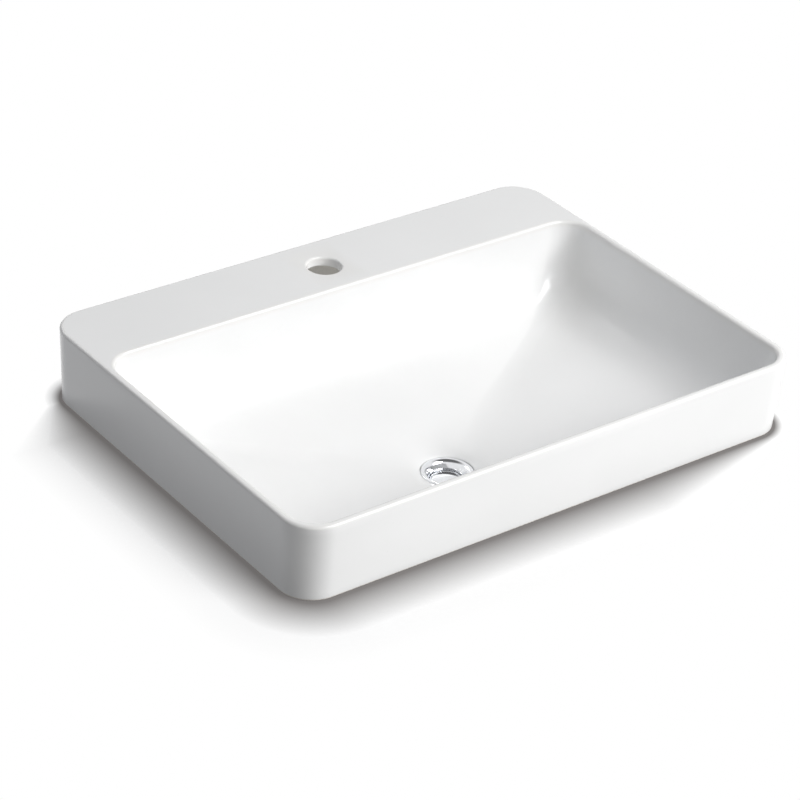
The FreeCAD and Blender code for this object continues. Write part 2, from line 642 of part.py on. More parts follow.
def make_spring(sleeve, rotor):
    """Return spring between the sleeve's floor and the rotor, one unbroken wire wound as a helix."""
    wire, radius, turns = sheet.spring_wire, sheet.spring_diameter / 2, sheet.spring_turns
    floor_level = sleeve.Placement.Base.z + sheet.hub_height + sheet.sleeve_floor
    shut_length = rotor.Placement.Base.z - floor_level - 2 * sheet.spring_gap
    pitch = (shut_length - wire) / turns

    def place(turn):
        angle = 2 * math.pi * turn
        return Vector(radius * math.cos(angle), radius * math.sin(angle), wire / 2 + pitch * turn)

    def way(turn):
        angle = 2 * math.pi * turn
        direction = Vector(-math.sin(angle), math.cos(angle), pitch / (2 * math.pi * radius))
        return direction.normalize()

    quarters = [k / 4 for k in range(int(4 * turns) + 1)]
    edges = []
    for begin, finish in zip(quarters, quarters[1:]):
        edges += biarc(place(begin), way(begin), place(finish), way(finish))
    path = Part.Wire(edges)
    section = Part.Wire(Part.makeCircle(wire / 2, place(0), way(0)))
    spring = doc.addObject("Part::Feature", "return_spring")
    spring.Label = "return_spring"
    spring.Shape = path.makePipeShell([section], True, False)
    stand(spring, f"{SPRING_BASE} + spring_gap")
    points = [place(k / 40) for k in range(int(40 * turns) + 1)]
    gaps = [(a - b).Length - wire for k, a in enumerate(points) for b in points[k + 20:]]
    print(f"return spring: least gap to itself {min(gaps):.2f} mm, pitch {pitch:.2f} mm")
    return spring


def make_core():
    """Stopper core: disc inside the cap, groove for the seal, lip, and screwed bore for the plunger tip."""
    body = new_body("stopper_core")
    bore = "tip_diameter / 2 + thread_gap"
    groove = f"{SEAL_RADIUS} - seal_section / 2 - core_gap"
    lip = f"{SEAL_RADIUS} + seal_section / 4"
    disc = "cap_diameter / 2 - skirt_wall - core_gap"
    shelf = "lip_height + seal_section + 2 * core_gap"
    depth = "tip_grip + head_gap"
    turn_profile(body, "core", [
        (bore, "0"),
        (lip, "0"),
        (lip, "lip_height"),
        (groove, "lip_height"),
        (groove, shelf),
        (disc, shelf),
        (disc, f"{shelf} + cap_skirt"),
        ("0", f"{shelf} + cap_skirt"),
        ("0", depth),
        (bore, depth),
    ])
    stand(body, CORE_BASE)
    return body


def make_cap():
    """Chrome cap of the stopper, a shallow cup over the core."""
    body = new_body("stopper_cap")
    inner = "cap_diameter / 2 - skirt_wall"
    turn_profile(body, "cap", [
        (inner, "0"),
        ("cap_diameter / 2", "0"),
        ("cap_diameter / 2", "cap_skirt + cap_top"),
        ("0", "cap_skirt + cap_top"),
        ("0", "cap_skirt"),
        (inner, "cap_skirt"),
    ])
    level = sheet.cap_skirt + sheet.cap_top
    dress(body, "cap_edge", "Fillet", "cap_round", lambda edge: ring(edge, sheet.cap_diameter, level))
    stand(body, f"{CORE_TOP} - cap_skirt")
    return body


def make_stopper_seal():
    """Round seal in the groove of the core."""
    seal = doc.addObject("Part::Torus", "stopper_seal")
    seal.Label = "stopper_seal"
    bind(seal, "Radius1", SEAL_RADIUS)
    bind(seal, "Radius2", "seal_section / 2")
    stand(seal, SEAL_CENTRE)
    return seal


def make_rings():
    """The flat rings of the waste: flange seal, slip washer, tail seal and cartridge collar."""
    bore = "barrel_diameter / 2 + thread_gap"
    washer_base = f"{BOSS_BASE} - gasket_thickness - washer_thickness"
    return [
        make_ring("flange_seal", SEAT, "neck_diameter / 2 + thread_gap", "flange_diameter / 2 - flange_round",
                  "flange_seal_thickness"),
        make_ring("slip_washer", washer_base, bore, "washer_diameter / 2", "washer_thickness"),
        make_ring("tail_seal", f"{BARREL_END} - tail_seal_thickness", "tail_diameter / 2 - tail_wall",
                  "tail_collar_diameter / 2", "tail_seal_thickness"),
        make_ring("cartridge_collar", COLLAR_BASE, "plunger_diameter / 2 + running_gap",
                  "collar_diameter / 2 - thread_gap", "collar_height"),
    ]


def make_nuts():
    """Back nut under the basin, tail nut on the end of the barrel and lock nut under the stopper."""
    thread = "barrel_diameter + 2 * thread_gap"
    back_base = f"{BOSS_BASE} - gasket_thickness - washer_thickness - back_nut_height"
    tail_height = "tail_nut_lip + tail_collar_height + tail_seal_thickness + tail_nut_grip"
    return [
        make_nut("back_nut", back_base, "back_nut_flats", "back_nut_height", thread),
        make_nut("tail_nut", f"{TAIL_COLLAR_BASE} - tail_nut_lip", "tail_nut_flats", tail_height, thread,
                 "tail_nut_lip", "tail_diameter + 2 * pipe_gap"),
        make_nut("stem_nut", SHOULDER, "stem_nut_flats", "stem_nut_height", "tip_diameter + 2 * thread_gap",
                 chamfer="stem_nut_chamfer"),
    ]


cartridge, latch = make_sleeve(), make_rotor()
pieces = [
    make_basin(),
    make_waste_body(),
    make_gasket(),
    make_tail_pipe(),
    cartridge,
    make_plunger(),
    latch,
    make_core(),
    make_cap(),
    make_stopper_seal(),
]
pieces += make_rings()
pieces += make_nuts()
doc.recompute()
pieces.append(make_spring(cartridge, latch))
doc.recompute()

for thing in doc.Objects:
    if "Invalid" in thing.State or "Error" in thing.State:
        raise RuntimeError(f"{thing.Label} failed: {thing.getStatusString()}")
for piece in pieces:
    if piece.Shape.isNull() or not piece.Shape.isValid() or not piece.Shape.Solids:
        raise RuntimeError(f"{piece.Label} has no valid solid")

os.makedirs("parts", exist_ok=True)
for piece in pieces:
    piece.Shape.exportStep(f"parts/{piece.Label}.step")
    print(f"{piece.Label}: {len(piece.Shape.Solids)} solid, {piece.Shape.Volume / 1000:.2f} cm3")
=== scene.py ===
"""Dresses a countertop basin and its click waste on the packed frame, and sets a small studio round it."""
import math

import bmesh
import bpy
import numpy as np
from bpy.props import FloatProperty, FloatVectorProperty, PointerProperty
from mathutils import Matrix, Vector


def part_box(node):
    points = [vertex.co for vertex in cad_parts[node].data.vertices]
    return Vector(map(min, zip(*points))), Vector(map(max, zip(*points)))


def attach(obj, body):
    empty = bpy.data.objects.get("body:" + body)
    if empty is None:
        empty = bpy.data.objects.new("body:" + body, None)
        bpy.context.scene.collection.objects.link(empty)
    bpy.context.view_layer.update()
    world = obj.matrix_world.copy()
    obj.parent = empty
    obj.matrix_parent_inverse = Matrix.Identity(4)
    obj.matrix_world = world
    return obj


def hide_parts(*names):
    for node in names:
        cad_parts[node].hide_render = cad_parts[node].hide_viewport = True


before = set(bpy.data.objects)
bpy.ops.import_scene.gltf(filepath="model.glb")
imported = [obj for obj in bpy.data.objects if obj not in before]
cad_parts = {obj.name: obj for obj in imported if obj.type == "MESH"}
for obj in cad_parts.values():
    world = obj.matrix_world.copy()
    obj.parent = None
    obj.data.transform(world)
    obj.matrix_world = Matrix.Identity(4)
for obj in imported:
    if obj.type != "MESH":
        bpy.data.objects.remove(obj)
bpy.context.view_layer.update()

bl_info = {
    "name": "Countertop basin",
    "version": (1, 0, 0),
    "blender": (4, 5, 0),
    "location": "3D View > Sidebar > Basin",
    "description": "Builds a countertop basin with its click waste, and a studio to see it in",
    "category": "Add Mesh",
}

# Places read from the frame, in metres
BASIN_LOW, BASIN_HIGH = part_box("basin_body")
CAP_LOW, CAP_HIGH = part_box("stopper_cap")
DRAIN = np.array([(CAP_LOW.x + CAP_HIGH.x) / 2, (CAP_LOW.y + CAP_HIGH.y) / 2])
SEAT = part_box("flange_seal")[0].z
RIM = BASIN_HIGH.z

# How finely the surfaces are divided
LONG_STEPS = 96
SHORT_STEPS = 64
CORNER_STEPS = 16
TURN_STEPS = 96
ROUND_STEPS = 8
FOOT_STEPS = 5
ARC_STEPS = 10
CUT_STEPS = 9
FLAT_STEPS = 24
PITCH_ROWS = 8

# Radii that break small edges, in metres
FINEST_EDGE = 0.0002
FINE_EDGE = 0.0003
PLAIN_EDGE = 0.0004
SOFT_EDGE = 0.0005
ROUND_EDGE = 0.0006
CLAY_EDGE = 0.0006

# Angles past which an edge shows as sharp, in degrees
CLAY_SHARP = 35
NUT_SHARP = 28
TURNED_SHARP = 50

# Keeps a divisor from being nought
TINY = 1e-9

# Attributes that the glaze reads
GLAZE_COVER = "glaze_cover"
THIN_GLAZE = "thin_glaze"

# Floor from its middle to its edge, in metres
FLOOR_REACH = 6.0

# How far the floor's painted shadow reaches from the basin, and how far behind it and at its right end
NEAR_SHADE, FAR_SHADE = 0.050, 0.008

# Places towards the right and the back between which the reach of that painted shadow shrinks
RIGHT_START, RIGHT_END = 0.10, 0.265
BACK_START, BACK_END = 0.13, 0.19

# Share of the painted shadow that glows by itself, and times its reach from which the whole floor does
SHADE_GLOW, SHADE_FADE = 0.60, 1.8

# Colours of light, in red, green and blue
WHITE = (1.0, 1.0, 1.0)
COOL = (0.86, 0.90, 1.0)


# Sizes and colours a user may change

def size(name, description, default):
    """A length in metres."""
    return FloatProperty(name=name, description=description, default=default, min=0.0, precision=4,
                         unit="LENGTH")


def angle(name, description, degrees):
    """An angle, given in degrees and kept in radians."""
    return FloatProperty(name=name, description=description, default=math.radians(degrees), subtype="ANGLE")


def power(name, description, default):
    """A lamp's power in watts."""
    return FloatProperty(name=name, description=description, default=default, min=0.0, unit="POWER")


def share(name, description, default):
    """A plain number from 0 upwards."""
    return FloatProperty(name=name, description=description, default=default, min=0.0)


def colour(name, description, default):
    """A colour in linear light."""
    return FloatVectorProperty(name=name, description=description, default=default, size=3, min=0.0, max=1.0,
                               subtype="COLOR")


class BasinSizes(bpy.types.PropertyGroup):
    """Sizes of the ceramic basin."""

    length: size("Length", "Basin from left to right", round(BASIN_HIGH.x - BASIN_LOW.x, 3))
    width: size("Width", "Basin from front to back", round(BASIN_HIGH.y - BASIN_LOW.y, 3))
    rim_width: size("Rim width", "Flat rim at the front and the sides", 0.008)
    deck_width: size("Deck width", "Deck behind the bowl", 0.092)
    corner_radius: size("Corner radius", "Outer corners, seen from above", 0.036)
    apron_taper: size("Apron taper", "How far the apron draws in towards the counter", 0.0028)
    apron_wall: size("Apron wall", "Thickness of the apron", 0.009)
    rim_round: size("Rim round", "Radius on the edges of the rim", 0.0034)
    foot_round: size("Foot round", "Radius on the edges of the foot", 0.0025)
    deck_thickness: size("Deck thickness", "Thickness of the deck", 0.011)
    tap_hole: size("Tap hole", "Diameter of the tap hole", 0.035)
    tap_lip: size("Tap hole lip", "Radius on the edges of the tap hole", 0.0026)
    tap_back: size("Tap hole from the back", "Centre of the tap hole from the back edge", 0.048)
    bowl_wall: size("Bowl wall", "Thickness of the bowl", 0.010)
    wall_lean: size("Wall lean", "How far the back wall of the bowl leans in", 0.004)
    bowl_round: size("Bowl round", "Radius between the wall and the floor of the bowl", 0.050)
    floor_fall: angle("Floor fall", "Slope of the floor towards the drain, from the back", 17)
    valley_round: size("Valley round", "Radius of the valleys between the planes of the floor", 0.013)
    dish_radius: size("Dish radius", "Round dish in the floor", 0.038)
    dish_depth: size("Dish depth", "Depth of that dish", 0.005)
    recess_radius: size("Recess radius", "Recess for the flange of the waste", 0.0273)
    recess_depth: size("Recess depth", "Depth of that recess", 0.0037)
    drain_radius: size("Drain radius", "Hole for the waste", 0.023)
    boss_radius: size("Boss radius", "Boss round the drain, below the bowl", 0.042)
    sway: size("Sway", "How far the cast walls wander from true", 0.00015)


class WasteSizes(bpy.types.PropertyGroup):
    """Sizes of the waste below the bowl that its solids do not give by their boxes."""

    flange_thickness: size("Flange thickness", "Flange of the waste", 0.0022)
    flange_crown: size("Flange crown", "How far the flange falls to its edge", 0.0004)
    mouth_radius: size("Mouth radius", "Opening of the funnel", 0.02175)
    mouth_round: size("Mouth round", "Radius over which the flange bends into the funnel", 0.0065)
    throat_radius: size("Throat radius", "Bore below the funnel", 0.0174)
    funnel_depth: size("Funnel depth", "Mouth to throat", 0.007)
    neck_radius: size("Neck radius", "Plain neck under the flange", 0.0222)
    neck_length: size("Neck length", "Length of that neck", 0.010)
    barrel_radius: size("Barrel radius", "Crest of the barrel's thread", 0.02095)
    thread_pitch: size("Thread pitch", "Rise of the thread in a turn", 0.00231)
    thread_depth: size("Thread depth", "Crest to root", 0.0009)
    nut_bore: size("Nut bore", "Bore of the back nut and the tail nut", 0.0211)
    nut_lip: size("Nut lip", "Floor of the tail nut", 0.003)
    lip_bore: size("Lip bore", "Hole in that floor", 0.0163)
    pipe_radius: size("Pipe radius", "Tail pipe outside", 0.016)
    pipe_wall: size("Pipe wall", "Tail pipe wall", 0.0012)
    pipe_collar: size("Pipe collar", "Height of the collar on the tail pipe", 0.002)
    waist_depth: size("Waist depth", "Waist of the tail pipe under its collar", 0.0005)
    waist_length: size("Waist length", "Length of that waist", 0.005)
    gasket_bore: size("Gasket bore", "Bore of the gasket and the slip washer", 0.0212)
    gasket_spigot: size("Gasket spigot", "Height of the spigot that centres the gasket in the drain", 0.003)
    spigot_radius: size("Spigot radius", "Outside of that spigot", 0.0227)
    hub_radius: size("Hub radius", "Hub of the spider in the barrel", 0.0085)
    hub_bore: size("Hub bore", "Screwed bore of the hub", 0.005)
    hub_height: size("Hub height", "Height of the spider", 0.008)
    hub_level: size("Hub level", "Spider above the end of the barrel", 0.002)
    arm_width: size("Arm width", "Each arm of the spider", 0.003)
    cap_crown: size("Cap crown", "Rise of the stopper's cap to its middle", 0.0005)


class FinishColours(bpy.types.PropertyGroup):
    """Colours of the finishes."""

    glaze: colour("Glaze", "White glaze", (0.89, 0.892, 0.89))
    biscuit: colour("Biscuit", "Fired clay where no glaze covers it", (0.72, 0.69, 0.63))
    chrome: colour("Chrome", "Chrome plate", (0.80, 0.81, 0.83))
    brass: colour("Brass", "Turned brass", (0.70, 0.53, 0.26))
    steel: colour("Steel", "Spring wire", (0.58, 0.58, 0.60))
    rubber: colour("Rubber", "Moulded seals", (0.030, 0.030, 0.033))
    white_plastic: colour("White plastic", "Slip washer, collar and rotor", (0.78, 0.78, 0.75))
    dark_plastic: colour("Dark plastic", "Stopper core and cartridge", (0.055, 0.055, 0.060))


class StudioSettings(bpy.types.PropertyGroup):
    """Light, floor and camera."""

    key_power: power("Key", "Soft lamp in front and to the right", 127.0)
    back_power: power("Back", "Soft lamp behind the basin", 17.0)
    side_power: power("Side", "Cool soft lamp at the left and the back", 17.0)
    sky_strength: share("Sky", "Soft light from above and all round", 0.10)
    under_strength: share("Under", "Soft light from below the counter", 0.5)
    # The floor glows by itself at these strengths for spread light, in place of the light it throws back; the
    # dimmer glow at the left is painted shadow
    floor_bounce: share("Floor bounce", "Even light that the floor throws back", 0.64)
    left_bounce: share("Left bounce", "That light at the left, in the basin's shadow", 0.32)
    # Painted shadow: the floor's colour right beside the foot, whatever the lamps do
    contact_tone: colour("Contact tone", "How the floor shows right beside the foot", (0.225, 0.214, 0.21))
    ceiling_tone: share("Ceiling", "How bright metal shows the ceiling", 0.16)
    ceiling_start: angle("Ceiling start", "Rise at which the white surround begins to darken", 52.0)
    ceiling_end: angle("Ceiling end", "Rise at which it is as dark as the ceiling", 68.0)
    lens: FloatProperty(name="Lens", description="Focal length of the camera", default=128.8, unit="CAMERA")
    view_turn: angle("View turn", "Camera round the basin, from straight in front", -38.973)
    view_rise: angle("View rise", "Camera above the counter", 31.380)
    view_roll: angle("View roll", "Roll of the camera", 4.310)
    view_distance: size("View distance", "Camera from the point that it looks at", 2.70434)
    view_point: FloatVectorProperty(name="View point", description="Point that the camera looks at", size=3,
                                    default=(-0.06787, -0.05240, 0.060), subtype="TRANSLATION", unit="LENGTH")


# Grids and meshes

def points_at(x, y, level):
    """Points from their coordinates, which are spread to one shape."""
    return np.stack(np.broadcast_arrays(x, y, level), axis=-1)


def full_turn(steps):
    """Even turns round a circle."""
    return np.arange(steps) / steps * math.tau


def turn_of(points, centre):
    """Turn of points round a centre."""
    return np.arctan2(points[:, 1] - centre[1], points[:, 0] - centre[0])


def way_on(count, end=1.0):
    """Even steps from nought to an end, without the nought."""
    return np.linspace(0, end, count + 1)[1:]


def quarter_round(radius, steps):
    """Distances along a quarter round, by even turns: a column that falls to nought and one that rises."""
    rise = np.linspace(0, math.pi / 2, steps)[:, None]
    return radius * (1 - np.sin(rise)), radius * (1 - np.cos(rise))


def rings(turn, radius, level, centre=DRAIN):
    """Circles round a centre, a row each: radius times the cosine and the sine of the turn."""
    radius, level = (np.reshape(rows, (len(rows), -1)) for rows in (radius, level))
    return points_at(centre[0] + radius * np.cos(turn), centre[1] + radius * np.sin(turn), level)


def grid_faces(row_count, column_count, closed=True):
    """Four-sided faces of a grid whose columns run round and meet; the rows meet too where closed."""
    last = row_count if closed else row_count - 1
    row = np.arange(last)[:, None]
    column = np.arange(column_count)[None, :]
    next_row = (row + 1) % row_count
    next_column = (column + 1) % column_count
    corners = [row * column_count + column, next_row * column_count + column,
               next_row * column_count + next_column, row * column_count + next_column]
    return np.stack(corners, axis=-1)


def close_mesh(mesh):
    """Merges the doubles of a closed surface, drops its slivers and turns its faces outwards."""
    double, sliver = 1e-6, 1e-7
    work = bmesh.new()
    work.from_mesh(mesh)
    bmesh.ops.remove_doubles(work, verts=work.verts, dist=double)
    bmesh.ops.dissolve_degenerate(work, edges=work.edges, dist=sliver)
    bmesh.ops.recalc_face_normals(work, faces=work.faces)
    work.to_mesh(mesh)
    work.free()


def put_mesh(name, points, faces, finish, sharp_degrees=CLAY_SHARP, attributes=None, solid=True):
    """Puts points and faces, and values that the points carry, into a new object at the origin."""
    mesh = bpy.data.meshes.new(name)
    mesh.from_pydata(points.reshape(-1, 3).tolist(), [], [face for group in faces for face in group.tolist()])
    for label, values in (attributes or {}).items():
        layer = mesh.attributes.new(label, "FLOAT", "POINT")
        layer.data.foreach_set("value", values.astype(np.float32))
    if solid:
        close_mesh(mesh)
    mesh.shade_smooth()
    mesh.set_sharp_from_angle(angle=math.radians(sharp_degrees))
    mesh.materials.append(finish)
    piece = bpy.data.objects.new(name, mesh)
    bpy.context.scene.collection.objects.link(piece)
    return piece


def join_surfaces(*surfaces):
    """Points and faces of several surfaces as one list, each surface's faces counted on from the last."""
    points, faces, count = [], [], 0
    for surface_points, surface_faces in surfaces:
        points.append(surface_points.reshape(-1, 3))
        faces += [group + count for group in surface_faces]
        count += len(points[-1])
    return np.concatenate(points), faces


def dress(piece, body, node):
    """The piece moves with a body and stands for a node, which is hidden."""
    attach(piece, body)
    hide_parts(node)


# Ceramic basin

def round_steps():
    """Steps round a rounded rectangle, against the clock from the right end of the back.

    Each step has its place between the corner centres (across from -1 to 1, along from 0 at the front to 1 at
    the back) and the direction in which the outline faces there.
    """
    corners = np.array([(1, 1), (-1, 1), (-1, 0), (1, 0), (1, 1)], float)
    places, turns = [], []
    for side in range(4):
        count = SHORT_STEPS if side % 2 else LONG_STEPS
        part = np.arange(count)[:, None] / count
        facing = (side + 1) * math.pi / 2
        places.append(corners[side] * (1 - part) + corners[side + 1] * part)
        turns.append(np.full(count, facing))
        places.append(np.repeat(corners[side + 1][None], CORNER_STEPS, axis=0))
        turns.append(facing + np.arange(CORNER_STEPS) / CORNER_STEPS * math.pi / 2)
    place = np.concatenate(places)
    turn = np.concatenate(turns)
    return place[:, 0], place[:, 1], np.cos(turn), np.sin(turn)


def outlines(steps, half, back, front, radius, level):
    """Rounded rectangles, a row each: corner centres mixed by each step's place, plus the radius outwards."""
    across, along, face_x, face_y = steps
    x = across * (half - radius) + face_x * radius
    y = along * (back - radius) + (1 - along) * (front + radius) + face_y * radius
    return points_at(x, y, level)


def apron_at(basin, level, inset):
    """Half length, back, front and corner radius of the apron, which draws in evenly towards the foot."""
    inset = inset + basin.apron_taper * (1 - level / RIM)
    half_width = basin.width / 2 - inset
    return basin.length / 2 - inset, half_width, -half_width, basin.corner_radius - inset


def apron_rows(basin, steps, level, inset):
    """Outlines of the apron at levels, a row each, set in from its outer face."""
    return outlines(steps, *apron_at(basin, level, inset), level)


def bowl_reaches(basin, scale=1, grow=0):
    """Reach of the bowl from the drain to its sides, back and front: the opening's, scaled and grown."""
    side = basin.length / 2 - basin.rim_width
    back = basin.width / 2 - basin.deck_width - DRAIN[1]
    front = basin.width / 2 - basin.rim_width + DRAIN[1]
    return side * scale + grow, back * scale + grow, front * scale + grow


def bowl_outlines(basin, steps, scale, grow, corner, level):
    """Outlines of the bowl, a row each: its opening, scaled towards the drain and grown."""
    side, back, front = bowl_reaches(basin, scale, grow)
    return outlines(steps, side, DRAIN[1] + back, DRAIN[1] - front, corner + grow, level)


def bowl_profile(basin, from_drop, wall_rows, arc_rows, floor_rows):
    """Way down the bowl at its back, row by row: scale, drop, lean off the upright and corner radius.

    The wall leans in a little, an arc turns it to the slope of the floor, and the floor runs straight for two
    thirds of its way to the dish. By squares, the corners tighten along the arc and open along the floor.
    """
    back = bowl_reaches(basin)[1]
    opening = basin.corner_radius - basin.rim_width
    lean = math.pi / 2 - basin.floor_fall
    arc_inset, arc_drop = basin.bowl_round * (1 - math.cos(lean)), basin.bowl_round * math.sin(lean)
    run = back - basin.wall_lean - arc_inset - basin.dish_radius
    fall = run * math.tan(basin.floor_fall)
    dish_level = SEAT + basin.recess_depth + basin.dish_depth
    wall_drop = RIM - dish_level - arc_drop - fall
    wall = np.linspace(from_drop / wall_drop, 1, wall_rows + 1)
    arc, floor = way_on(arc_rows), way_on(floor_rows, 2 / 3)
    inset = np.concatenate([basin.wall_lean * wall,
                            basin.wall_lean + basin.bowl_round * (1 - np.cos(lean * arc)),
                            basin.wall_lean + arc_inset + run * floor])
    drop = np.concatenate([wall_drop * wall,
                           wall_drop + basin.bowl_round * np.sin(lean * arc),
                           wall_drop + arc_drop + fall * floor])
    leans = np.concatenate([0 * wall, lean * arc, lean + 0 * floor])
    corner = np.concatenate([opening + 0 * wall,
                             opening + (basin.valley_round - opening) * arc ** 2,
                             basin.valley_round + (basin.dish_radius - basin.valley_round) * floor ** 2])
    return [rows[:, None] for rows in (1 - inset / back, drop, leans, corner)]


def ease(rows, rounds):
    """Rounds creases across a grid: each inner row becomes a quarter, a half and a quarter of its three."""
    for _ in range(rounds):
        rows[1:-1] = (rows[:-2] + 2 * rows[1:-1] + rows[2:]) / 4
    return rows


def bowl_rows(basin, steps):
    """Inside of the bowl from the rim's lip to the drain hole.

    Outlines shrink towards the drain and mix into a circle, and circles go down the dish and the recess.
    """
    flat_rows, dish_rows, easings = 9, 5, 6
    scale, drop, _, corner = bowl_profile(basin, basin.rim_round, wall_rows=9, arc_rows=18, floor_rows=16)
    grow, fall = quarter_round(basin.rim_round, ROUND_STEPS)
    lip = bowl_outlines(basin, steps, scale[0], grow, corner[0], RIM - fall)
    slopes = bowl_outlines(basin, steps, scale, 0, corner, RIM - drop)
    turn = turn_of(slopes[-1], DRAIN)
    outer, inner, soft = basin.recess_radius, basin.drain_radius, CLAY_EDGE
    top = SEAT + basin.recess_depth
    edge = rings(turn, [basin.dish_radius], [top + basin.dish_depth])
    part = way_on(flat_rows)[:, None, None]
    to_dish = slopes[-1] * (1 - part) + edge * part
    part = way_on(dish_rows)
    dish = rings(turn, basin.dish_radius + (outer + soft - basin.dish_radius) * part,
                 top + basin.dish_depth * (1 - part))
    recess = rings(turn, [outer + soft / 4, outer, outer, inner + soft, inner],
                   [top - soft / 2, top - 1.5 * soft, SEAT, SEAT, SEAT - soft])
    inside = ease(np.concatenate([slopes, to_dish, dish]), easings)
    return lip, inside[1:], recess


def ray_reach(turn, half, back, front, radius):
    """Distance from the drain to rounded rectangles along rays.

    It is the nearer of the two sides that a ray meets, or the corner's arc past the straight of that side.
    """
    ray_x, ray_y = np.abs(np.cos(turn)) + TINY, np.abs(np.sin(turn)) + TINY
    deep = np.where(np.sin(turn) > 0, back, front)
    straight = np.minimum(half / ray_x, deep / ray_y)
    centre_x, centre_y = half - radius, deep - radius
    along = centre_x * ray_x + centre_y * ray_y
    arc = along + np.sqrt(np.maximum(along ** 2 - centre_x ** 2 - centre_y ** 2 + radius ** 2, 0))
    past = (straight * ray_x > centre_x) & (straight * ray_y > centre_y)
    return np.where(past, arc, straight)


def under_profile(basin, turn):
    """Reach and level of the bowl's underside along rays from the drain, down from the deck to the boss.

    It is the bowl's profile moved out by the thickness of the wall.
    """
    scale, drop, lean, corner = bowl_profile(basin, basin.deck_thickness,
                                             wall_rows=6, arc_rows=14, floor_rows=10)
    grow = basin.bowl_wall * np.cos(lean)
    reach = ray_reach(turn, *bowl_reaches(basin, scale, grow), corner + grow)
    reach = np.concatenate([reach, np.full((1, len(turn)), basin.boss_radius)])
    level = np.append(RIM - drop - basin.bowl_wall * np.sin(lean), SEAT - basin.bowl_wall)
    return reach, level


def boss_rows(basin, turn):
    """Flat end of the boss from the drain hole outwards, with its edges softened."""
    inner, outer, foot, soft = basin.drain_radius, basin.boss_radius, BASIN_LOW.z, CLAY_EDGE
    return rings(turn, [inner, inner + soft, outer - soft, outer], [foot + soft, foot, foot, foot + soft])


def underside_rows(basin, steps):
    """Boss, underside of the bowl and inner face of the apron, from the drain hole out and down to the foot.

    Along each ray from the drain the underside stops at the deck, or where it runs into the apron, and the
    apron's inner face goes down from there.
    """
    meeting_level, shell_rows, apron_count = 0.02, 22, 6
    wall = apron_rows(basin, steps, meeting_level, basin.apron_wall)
    turn = turn_of(wall, DRAIN)
    wall_reach = np.hypot(wall[:, 0] - DRAIN[0], wall[:, 1] - DRAIN[1])
    reach, level = under_profile(basin, turn)
    column = np.arange(len(turn))
    first = (reach <= wall_reach).argmax(axis=0)
    before = np.maximum(first - 1, 0)
    gap = np.maximum(reach[before, column] - reach[first, column], TINY)
    start = before + np.where(first > 0, (reach[before, column] - wall_reach) / gap, 0)
    place = start + (len(level) - 1 - start) * np.linspace(1, 0, shell_rows)[:, None]
    low = np.minimum(place.astype(int), len(level) - 2)
    part = place - low
    shell_reach = reach[low, column] * (1 - part) + reach[low + 1, column] * part
    shell_level = level[low] * (1 - part) + level[low + 1] * part
    shell = rings(turn, shell_reach, shell_level)
    height = basin.foot_round + (shell_level[-1] - basin.foot_round) * np.linspace(1, 0, apron_count)[:, None]
    apron = apron_rows(basin, steps, height, basin.apron_wall)
    apron[0] = np.where((first > 0)[:, None], shell[-1], apron[0])
    return boss_rows(basin, turn), shell, apron


def foot_rows(basin, steps):
    """Foot of the apron from its inner to its outer edge: a quarter round, a flat and a quarter round."""
    level, inset = (rows[1:] for rows in quarter_round(basin.foot_round, FOOT_STEPS))
    inner = apron_rows(basin, steps, level, basin.apron_wall - inset)
    outer = apron_rows(basin, steps, level[::-1], inset[::-1])
    return np.concatenate([inner, outer])


def outside_rows(basin, steps):
    """Apron from the foot up, the outer round of the rim, and the two lines that bound the flat on top."""
    apron_count = 12
    level = np.linspace(basin.foot_round, RIM - basin.rim_round, apron_count)[:, None]
    apron = apron_rows(basin, steps, level, 0)
    fall, inset = (rows[1:] for rows in quarter_round(basin.rim_round, ROUND_STEPS))
    lip = apron_rows(basin, steps, RIM - fall, inset)
    margin = basin.rim_round + (basin.rim_width / 2 - basin.rim_round) * 2 / 3
    outer = apron_rows(basin, steps, RIM, margin)
    inner = bowl_outlines(basin, steps, 1, margin, basin.corner_radius - basin.rim_width, RIM)
    return apron, lip, np.stack([outer, inner])


def tap_centre(basin):
    """Middle of the tap hole, seen from above."""
    return np.array([0.0, basin.width / 2 - basin.tap_back])


def tap_hole_rows(basin):
    """Tap hole from the top of the deck to its underside: a quarter round, a straight and a quarter round."""
    flare, fall = quarter_round(basin.tap_lip, ROUND_STEPS)
    under = RIM - basin.deck_thickness
    radius = basin.tap_hole / 2 + np.concatenate([flare, flare[::-1]])
    level = np.concatenate([RIM - fall, (under + fall)[::-1]])
    return rings(full_turn(TURN_STEPS), radius, level, tap_centre(basin))


def zip_loops(points, inner, outer, centre):
    """Triangles between two loops round a centre: each edge joins the other loop's nearest point by turn."""
    def by_turn(loop):
        turn = turn_of(points[loop], centre)
        order = np.argsort(turn)
        turn = turn[order]
        ahead = np.mod(np.roll(turn, -1) - turn, math.tau)
        return loop[order], turn + ahead / 2
    inner, inner_middle = by_turn(inner)
    outer, outer_middle = by_turn(outer)
    start = outer_middle[-1]
    inner_middle = np.mod(inner_middle - start, math.tau)
    outer_middle = np.mod(outer_middle - start, math.tau)
    nearest = np.searchsorted(outer_middle[:-1], inner_middle)
    order = np.argsort(inner_middle)
    met = order[np.searchsorted(inner_middle[order], outer_middle) % len(inner)]
    inner_faces = np.stack([inner, np.roll(inner, -1), outer[nearest]], axis=-1)
    outer_faces = np.stack([np.roll(outer, -1), outer, inner[met]], axis=-1)
    return np.concatenate([inner_faces, outer_faces])


